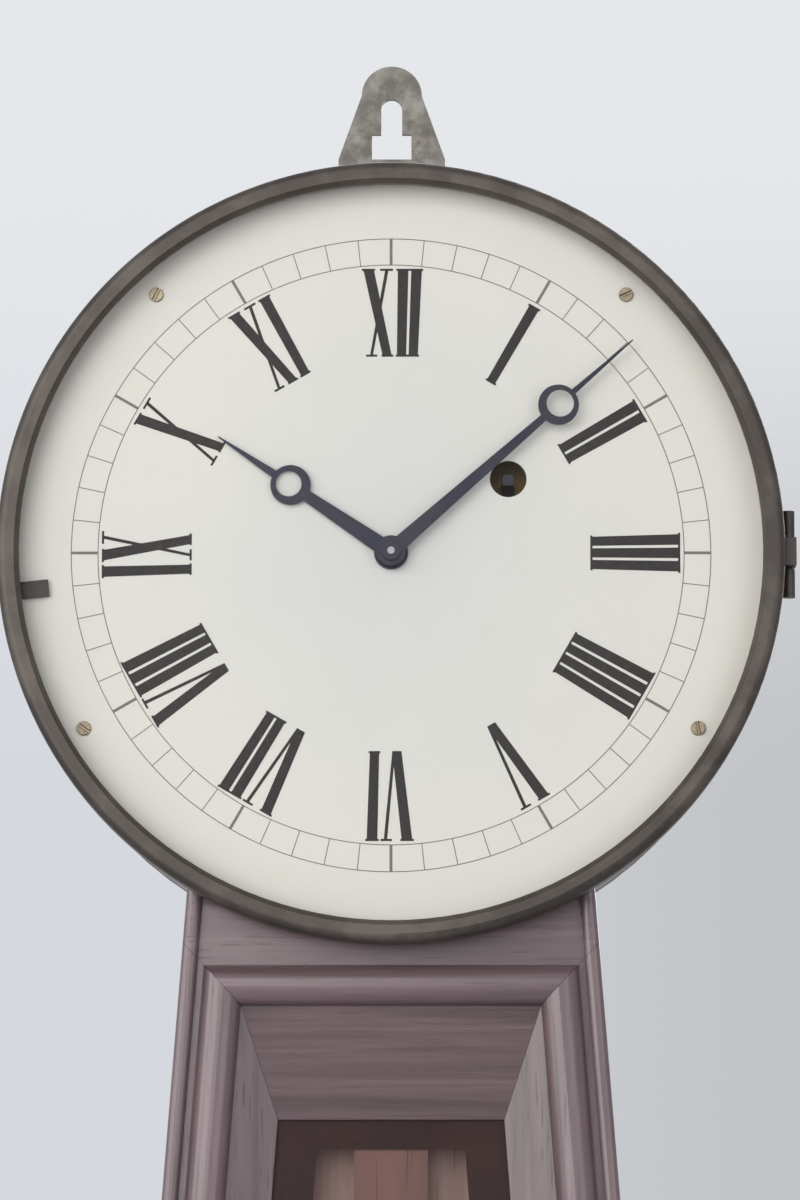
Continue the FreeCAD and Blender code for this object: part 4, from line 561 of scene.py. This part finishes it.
STEEL = plain_metal("polished_steel", STEEL_TONES, 0.24)
BRASS = plain_metal("lacquered_brass", BRASS_TONES, 0.24)
BRONZE = bronzed_bezel()
GUT = gut_line()
HANGER_IRON = aged_hanger()
PLATE_BRASS = plain_metal("tarnished_plate_brass", PLATE_TONES, 0.38)
DULL_BRASS = plain_metal("dull_screw_brass", SCREW_TONES, 0.38)
BLUED = plain_metal("blued_steel", BLUED_TONES, 0.30, metallic=0.85)
INK = dial_ink("numeral_black", NUMERAL_TONE)
TRACK_INK = dial_ink("track_grey", TRACK_TONE)
BORDER = border_black()
INNER_RED = board_wood("inner_red_board", BAFFLE_TONES, 0.15)
FINISHES = {
    straight_mahogany("upright_mahogany", "z"):
        "throat_side_left throat_side_right box_side_left box_side_right",
    straight_mahogany("level_mahogany", "x"): "box_top box_floor",
    mitred_mahogany("throat_mahogany", throat_rails): "throat_frame",
    mitred_mahogany("door_mahogany", door_rails): "door_frame",
    INNER_RED: "baffle_board",
    board_wood("back_board_wood", BACKBOARD_TONES, 0.4): "backboard",
    board_wood("rod_wood", ROD_TONES, 0.1): "pendulum_rod",
    stained_drum(): "drum_shell",
    BRONZE: "bezel_ring bezel_hinge_leaf",
    plain_metal("dark_catch_bronze", CATCH_TONES, 0.42, metallic=0.6): "bezel_catch",
    dial_white(): "dial_plate",
    clear_glass("dial_glass_clear"): "dial_glass",
    clear_glass("tablet_glass_clear"): "throat_glass door_glass",
    HANGER_IRON: "hanger_plate hanger_screws",
    # The winding arbor takes the dark blued finish as painted shade, so that its square reads dark
    # in the shaded winding hole.
    BLUED: "winding_arbor hour_hand minute_hand hand_nut click click_spring",
    DULL_BRASS: "dial_screws",
    PLATE_BRASS: "back_plate front_plate",
    BRASS: "plate_pillars pillar_nuts movement_spacers barrel great_wheel centre_wheel "
           "third_wheel escape_wheel minute_wheel hour_wheel suspension_cock keystone_ring "
           "rating_nut pulley door_hinge_leaves door_hinge_door_leaves door_turn_catch",
    turned_bob(): "pendulum_bob",
    STEEL: "centre_arbor third_arbor escape_arbor pallets crutch cannon_pinion "
           "suspension_spring rating_screw pulley_stirrup",
    cast_iron(): "weight",
    GUT: "weight_line weight_line_fixed",
}


def finish_cad_nodes():
    """Gives each node of the CAD its one finish."""
    for material, names in FINISHES.items():
        for name in names.split():
            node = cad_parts[name]
            node.data.materials.clear()
            node.data.materials.append(material)


# Mesh workshop

WELD_REACH = 0.002 * MM


def linked_object(name, mesh):
    """An object in the scene that takes the shape of a bmesh, which is freed."""
    data = bpy.data.meshes.new(name)
    mesh.to_mesh(data)
    mesh.free()
    thing = bpy.data.objects.new(name, data)
    bpy.context.collection.objects.link(thing)
    return thing


def add_piece(name, mesh, body, material):
    """A finished piece from a bmesh, which rides on a body where one is named."""
    bmesh.ops.remove_doubles(mesh, verts=mesh.verts, dist=WELD_REACH)
    bmesh.ops.recalc_face_normals(mesh, faces=mesh.faces)
    piece = linked_object(name, mesh)
    piece.data.materials.append(material)
    if body:
        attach(piece, body)
    return piece


def thicken(mesh, faces, shift):
    """Pulls faces out along a shift, into a closed slab, and returns the points that moved."""
    grown = bmesh.ops.extrude_face_region(mesh, geom=faces)["geom"]
    moved = [item for item in grown if isinstance(item, bmesh.types.BMVert)]
    bmesh.ops.translate(mesh, verts=moved, vec=shift)
    return moved


def raise_slab(mesh, corners, level, thick):
    """A flat shape through (x, z) corners that stands out from a level towards the front."""
    face = mesh.faces.new([mesh.verts.new((x, level, z)) for x, z in corners])
    thicken(mesh, [face], (0, -thick, 0))


def edge_loop(mesh, points):
    """The points of a closed outline and the edges that join them."""
    spots = [mesh.verts.new(point) for point in points]
    return spots, [mesh.edges.new((spots[i - 1], spots[i])) for i in range(len(spots))]


# Numerals and minute track

NUMERAL_FOOT = 82 * MM
NUMERAL_HEAD = 119 * MM
STROKE = 4.1 * MM
HAIRLINE = 1.3 * MM
GAP = 1.1 * MM
LETTER_WIDTH = 13.4 * MM
SERIF = 0.9 * MM
SERIF_REACH = 0.55 * MM
FAN = 0.4
LAYER_STEP = PAINT_THICK / 12
TRACK_INNER = 120.4 * MM
TRACK_OUTER = 131.4 * MM
TRACK_LINE = 0.38 * MM
TRACK_STEPS = 180
HOUR_BAR_HALF = 0.6 * MM
BAR_THICK = PAINT_THICK * 0.9
NUMERALS = ("I", "II", "III", "IIII", "V", "VI", "VII", "VIII", "IX", "X", "XI", "XII")


def letter_strokes(letter, left):
    """Outlines of one letter between the foot and the head, and the width that it takes."""
    foot, head = NUMERAL_FOOT, NUMERAL_HEAD
    high = head - SERIF

    def slanted(foot_left, head_left, width):
        return [(foot_left, foot), (foot_left + width, foot),
                (head_left + width, head), (head_left, head)]

    def serif(start, end, level):
        return [(start - SERIF_REACH, level), (end + SERIF_REACH, level),
                (end + SERIF_REACH, level + SERIF), (start - SERIF_REACH, level + SERIF)]

    if letter == "I":
        right = left + STROKE
        return [slanted(left, left, STROKE), serif(left, right, foot),
                serif(left, right, high)], STROKE
    right = left + LETTER_WIDTH
    if letter == "V":
        middle = left + (LETTER_WIDTH - HAIRLINE) / 2
        return [
            slanted(middle - STROKE / 3, left + GAP, STROKE),
            slanted(middle + STROKE / 3, right - HAIRLINE * 2, HAIRLINE),
            serif(left + GAP, left + GAP + STROKE, high),
            serif(right - HAIRLINE * 3, right - HAIRLINE / 2, high),
        ], LETTER_WIDTH
    return [
        slanted(right - STROKE - GAP, left + GAP, STROKE),
        slanted(left + GAP + HAIRLINE, right - HAIRLINE * 2 - GAP, HAIRLINE),
        serif(left + GAP, left + GAP + STROKE, high),
        serif(right - HAIRLINE * 4, right - HAIRLINE, high),
        serif(left + HAIRLINE, left + HAIRLINE * 4, foot),
        serif(right - STROKE - GAP, right - GAP, foot),
    ], LETTER_WIDTH


def on_dial(across, reach, clock_angle):
    """x and z of a point that lies across and out from the dial's centre, at a clock angle."""
    turn = math.radians(clock_angle)
    x = math.sin(turn) * reach + math.cos(turn) * across
    z = math.cos(turn) * reach - math.sin(turn) * across
    return x, DIAL_Z + z


def paint_numerals():
    """The hours, whose strokes fan outwards and lie in layers too thin to see."""
    mesh = bmesh.new()
    middle = (NUMERAL_FOOT + NUMERAL_HEAD) / 2
    for hour, numeral in enumerate(NUMERALS, 1):
        outlines = []
        left = 0.0
        for letter in numeral:
            strokes, width = letter_strokes(letter, left)
            outlines += strokes
            left += width + GAP
        centre = (left - GAP) / 2
        for layer, corners in enumerate(outlines):
            fanned = [((across - centre) * (1 - FAN + FAN * reach / middle), reach)
                      for across, reach in corners]
            raise_slab(mesh, [on_dial(across, reach, hour * 30) for across, reach in fanned],
                       DIAL_FACE, PAINT_THICK + layer * LAYER_STEP)
    add_piece("dial_numerals", mesh, "root", INK)


def paint_minute_track():
    """Two rings with a bar for each minute between them."""
    mesh = bmesh.new()
    front = DIAL_FACE - PAINT_THICK
    for radius in (TRACK_INNER, TRACK_OUTER):
        outer = radius + TRACK_LINE
        section = [(radius, DIAL_FACE), (outer, DIAL_FACE), (outer, front), (radius, front)]
        spots, edges = edge_loop(mesh, [(x, y, DIAL_Z) for x, y in section])
        bmesh.ops.spin(mesh, geom=spots + edges, cent=(0, 0, DIAL_Z), axis=(0, 1, 0),
                       angle=math.tau, steps=TRACK_STEPS, use_merge=True)
    foot, head = TRACK_INNER, TRACK_OUTER + TRACK_LINE
    for minute in range(60):
        half = HOUR_BAR_HALF if minute % 5 == 0 else TRACK_LINE / 2
        corners = [(-half, foot), (half, foot), (half, head), (-half, head)]
        raise_slab(mesh, [on_dial(across, reach, minute * 6) for across, reach in corners],
                   DIAL_FACE, BAR_THICK)
    add_piece("minute_track", mesh, "root", TRACK_INK)


# Slotted screws

# Radius, height of the round base and height of the slotted crown above it
DIAL_SCREW = (3.0 * MM, 0.5 * MM, 0.7 * MM)
HANGER_SCREW = (4.5 * MM, 0.6 * MM, 0.8 * MM)
LEAF_SCREW = (2.8 * MM, 0.15 * MM, 0.5 * MM)
SCREW_SIDES = 32
SLOT_SHARE = 0.15
SUNK_SHARE = 0.4
CROWN_SHARE = 0.98
ROUND_SHARE = 0.4
SCREW_RING = 145.3 * MM
SCREW_ANGLES = (42, 120, 240, 318)
DIAL_SLOTS = (25, 100, -35, 62)
HANGER_SLOTS = (15, -50, 80)
HANGER_SEAT_DEPTH = 1.4 * MM
LEAF_THICK = 1.4 * MM
LEAF_HALF = 18 * MM
LEAF_SCREW_REACH = 11 * MM
FIXED_LEAF_INSET = 7 * MM
DOOR_LEAF_INSET = 4.5 * MM
LEAF_SLOT = 20
LEAF_SLOT_STEP = 55


def cut_screw_head(mesh, seat, size):
    """A low round head whose top is parted by a slot: two half crowns set into a round base."""
    radius, base, crown = size
    sunk = base * SUNK_SHARE
    for keep in (0, 1, -1):
        disc = bmesh.new()
        bmesh.ops.create_circle(disc, cap_ends=True, segments=SCREW_SIDES,
                                radius=radius * (CROWN_SHARE if keep else 1.0))
        if keep:
            bmesh.ops.bisect_plane(disc, geom=disc.verts[:] + disc.edges[:] + disc.faces[:],
                                   plane_co=(0, keep * radius * SLOT_SHARE, 0),
                                   plane_no=(0, -keep, 0), clear_outer=True)
        top = thicken(disc, disc.faces[:], (0, 0, crown + sunk if keep else base))
        if keep:
            edges = [edge for edge in disc.edges if all(vert in top for vert in edge.verts)]
            bmesh.ops.bevel(disc, geom=edges, offset=crown * ROUND_SHARE, affect="EDGES",
                            segments=3, profile=0.5, material=-1)
        level = base - sunk if keep else 0.0
        bmesh.ops.transform(disc, matrix=seat @ Matrix.Translation((0, 0, level)),
                            verts=disc.verts)
        data = bpy.data.meshes.new("screw_head_part")
        disc.to_mesh(data)
        disc.free()
        mesh.from_mesh(data)
        bpy.data.meshes.remove(data)


def screw_seat(place, turned_about, quarter, slot_angle):
    """A seat that faces along the axis that a quarter turn brings up, with its slot turned."""
    facing = Matrix.Rotation(math.radians(quarter * 90), 4, turned_about)
    slot = Matrix.Rotation(math.radians(slot_angle), 4, "Z")
    return Matrix.Translation(place) @ facing @ slot


def set_dial_screws():
    """The four screws near the dial's edge, each with its slot at an angle of its own."""
    mesh = bmesh.new()
    for clock_angle, slot_angle in zip(SCREW_ANGLES, DIAL_SLOTS):
        x, z = on_dial(0.0, SCREW_RING, clock_angle)
        cut_screw_head(mesh, screw_seat((x, DIAL_FACE, z), "X", 1, slot_angle), DIAL_SCREW)
    screws = add_piece("slotted_dial_screws", mesh, "root", DULL_BRASS)
    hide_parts("dial_screws")


def set_hanger_screws():
    """The hanger's screw heads lie in their seats, just below the back of the plate."""
    mesh = bmesh.new()
    low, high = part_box("hanger_screws")
    radius = HANGER_SCREW[0]
    seats = ((low.x + radius, low.z + radius), (high.x - radius, low.z + radius),
             (0.0, high.z - radius))
    for (x, z), slot_angle in zip(seats, HANGER_SLOTS):
        seat = screw_seat((x, high.y - HANGER_SEAT_DEPTH, z), "X", -1, slot_angle)
        cut_screw_head(mesh, seat, HANGER_SCREW)
    screws = add_piece("slotted_hanger_screws", mesh, "root", HANGER_IRON)
    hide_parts("hanger_screws")


def set_leaf_screws():
    """Two small screws in each leaf of the hinges, seen on the right side of the case."""
    fixed_low, fixed_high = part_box("door_hinge_leaves")
    bezel_low, bezel_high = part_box("bezel_hinge_leaf")
    moving_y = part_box("door_hinge_door_leaves")[0].y + DOOR_LEAF_INSET
    middles = (fixed_low.z + LEAF_HALF, fixed_high.z - LEAF_HALF)
    leaves = (
        ("door_leaf_screws_fixed", "root", DULL_BRASS, "brass", fixed_low.x,
         fixed_high.y - FIXED_LEAF_INSET, middles),
        ("door_leaf_screws_moving", "door", DULL_BRASS, "brass", fixed_low.x, moving_y, middles),
        ("bezel_leaf_screws", "root", BRONZE, "bezel_finish", bezel_low.x,
         bezel_high.y - FIXED_LEAF_INSET, (DIAL_Z,)),
    )
    for name, body, material, slot, side, y, levels in leaves:
        mesh = bmesh.new()
        heights = [level + way * LEAF_SCREW_REACH for level in levels for way in (-1, 1)]
        for step, z in enumerate(heights):
            seat = screw_seat((side + LEAF_THICK, y, z), "Y", 1, LEAF_SLOT + step * LEAF_SLOT_STEP)
            cut_screw_head(mesh, seat, LEAF_SCREW)
        add_piece(name, mesh, body, material)


# Line of the weight

LINE_SIDES = 12
LINE_CUTS = 31


def hang_line():
    """The two strands of the line, which lengthen as the weight falls; here each is a fixed round
    strand cut into many rings along its length.
    """
    for node in ("weight_line", "weight_line_fixed"):
        low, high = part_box(node)
        middle = (low + high) / 2
        radius = (high.x - low.x) / 2
        mesh = bmesh.new()
        bmesh.ops.create_cone(mesh, cap_ends=True, segments=LINE_SIDES, radius1=radius,
                              radius2=radius, depth=high.z - low.z,
                              matrix=Matrix.Translation(middle))
        upright = [edge for edge in mesh.edges
                   if abs(edge.verts[0].co.z - edge.verts[1].co.z) > radius]
        bmesh.ops.subdivide_edges(mesh, edges=upright, cuts=LINE_CUTS)
        strand = add_piece(node + "_strand", mesh, None, GUT)
        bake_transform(strand)
        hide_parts(node)


# Painted borders of the tablets

BORDER_WIDTH = 17 * MM
BORDER_RAIL = 12 * MM
BORDER_LAP = 3 * MM
DOOR_PAINT_INSET = 2 * MM


def throat_corners(inset, top, foot):
    """Corners of an outline that follows the flare of the throat."""
    def half(z):
        return THROAT_TOP_HALF + (THROAT_TOP_Z - z) * FLARE - inset
    return [(-half(foot), foot), (half(foot), foot), (half(top), top), (-half(top), top)]


def paint_border(name, outlines, level, body):
    """A thin frame of paint between two outlines, on the back of the glass."""
    mesh = bmesh.new()
    edges = []
    for corners in outlines:
        edges += edge_loop(mesh, [(x, level, z) for x, z in corners])[1]
    faces = bmesh.ops.bridge_loops(mesh, edges=edges)["faces"]
    thicken(mesh, faces, (0, PAINT_THICK, 0))
    add_piece(name, mesh, body, BORDER)


def paint_borders():
    """The throat's border follows its flare, and the door's border is a plain rectangle."""
    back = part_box("throat_glass")[1].y + PAINT_THICK
    outlines = [
        throat_corners(SIGHT_INSET - BORDER_LAP, SIGHT_TOP_Z + BORDER_LAP,
                       SIGHT_FOOT_Z - BORDER_LAP),
        throat_corners(SIGHT_INSET + BORDER_WIDTH, SIGHT_TOP_Z - BORDER_RAIL,
                       SIGHT_FOOT_Z + BORDER_RAIL),
    ]
    paint_border("throat_tablet_border", outlines, back, "root")
    low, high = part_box("door_glass")
    outlines = [[(low.x + inset, low.z + inset), (high.x - inset, low.z + inset),
                 (high.x - inset, high.z - inset), (low.x + inset, high.z - inset)]
                for inset in (DOOR_PAINT_INSET, BORDER_WIDTH + DOOR_PAINT_INSET * 2)]
    paint_border("door_tablet_border", outlines, high.y + PAINT_THICK, "door")


# Floor and background

FLOOR_DROP = 550 * MM
FLOOR_FULL = 700 * MM
FLOOR_FADED = 2400 * MM
FLOOR_SIDES = 64
FLOOR_TONES = (paint(206, 207, 211), paint(200, 201, 205))
# The wall is painted with light and shade: paler on the left and at the top, darker to the right.
WALL_LIT_LEFT = paint(213, 216, 222)
WALL_SHADED_RIGHT = paint(193, 195, 198)
WALL_LIT_TOP = paint(229, 231, 235)
EVEN_COLOUR = (0.96, 0.98, 1.0, 1.0)
EVEN_STRENGTH = 0.36


def lay_floor():
    """A plain pale floor well below the hanging clock, which fades out further away."""
    mesh = bmesh.new()
    bmesh.ops.create_circle(mesh, cap_ends=True, radius=FLOOR_FADED, segments=FLOOR_SIDES)
    bmesh.ops.translate(mesh, verts=mesh.verts, vec=(0, 0, cad_box[0].z - FLOOR_DROP))
    floor = linked_object("floor", mesh)
    finish = Finish("pale_floor")
    place = finish.place()
    x, y, z = finish.axes(place)
    away = (x * x + y * y).root().fade(FLOOR_FULL, FLOOR_FADED)
    shade = finish.cloud(place, scale=1.5, detail=2).fade(0.2, 0.8)
    ground = finish.surface(base_color=finish.mixed(shade, *FLOOR_TONES),
                            roughness=0.7 + 0.1 * shade, specular_ior_level=0.1)
    faded = finish.node("ShaderNodeMixShader", values=[away, ground, finish.clear()])
    floor.data.materials.append(finish.done(faded))


def hang_background():
    """Pale wall tone with painted light and shade for what the camera and the gloss see, and an
    even light for the rest.
    """
    world = Finish("pale_room_nodes", bpy.data.worlds.new("pale_room"))
    bpy.context.scene.world = world.material
    sight = world.node("ShaderNodeLightPath").socket.node
    seen = Wire(world, sight.outputs["Is Camera Ray"])
    for ray in ("Is Glossy Ray", "Is Transmission Ray"):
        seen = seen.most(Wire(world, sight.outputs[ray]))
    x, y, z = world.axes(world.node("ShaderNodeTexCoord", output="Generated"))
    # Painted shade darkens the wall to the right, and painted light pales it towards the top.
    side = world.mixed(x.fade(-0.05, 0.08), WALL_LIT_LEFT, WALL_SHADED_RIGHT)
    tone = world.mixed(z.fade(0.10, 0.22), side, WALL_LIT_TOP)
    even = world.node("ShaderNodeBackground", values=[EVEN_COLOUR, EVEN_STRENGTH])
    wall = world.node("ShaderNodeBackground", values=[tone, 1.0])
    shown = world.node("ShaderNodeMixShader", values=[seen, even, wall])
    world.node("ShaderNodeOutputWorld", values=[shown])


finish_cad_nodes()
paint_numerals()
paint_minute_track()
set_dial_screws()
set_hanger_screws()
set_leaf_screws()
hang_line()
paint_borders()
lay_floor()
hang_background()
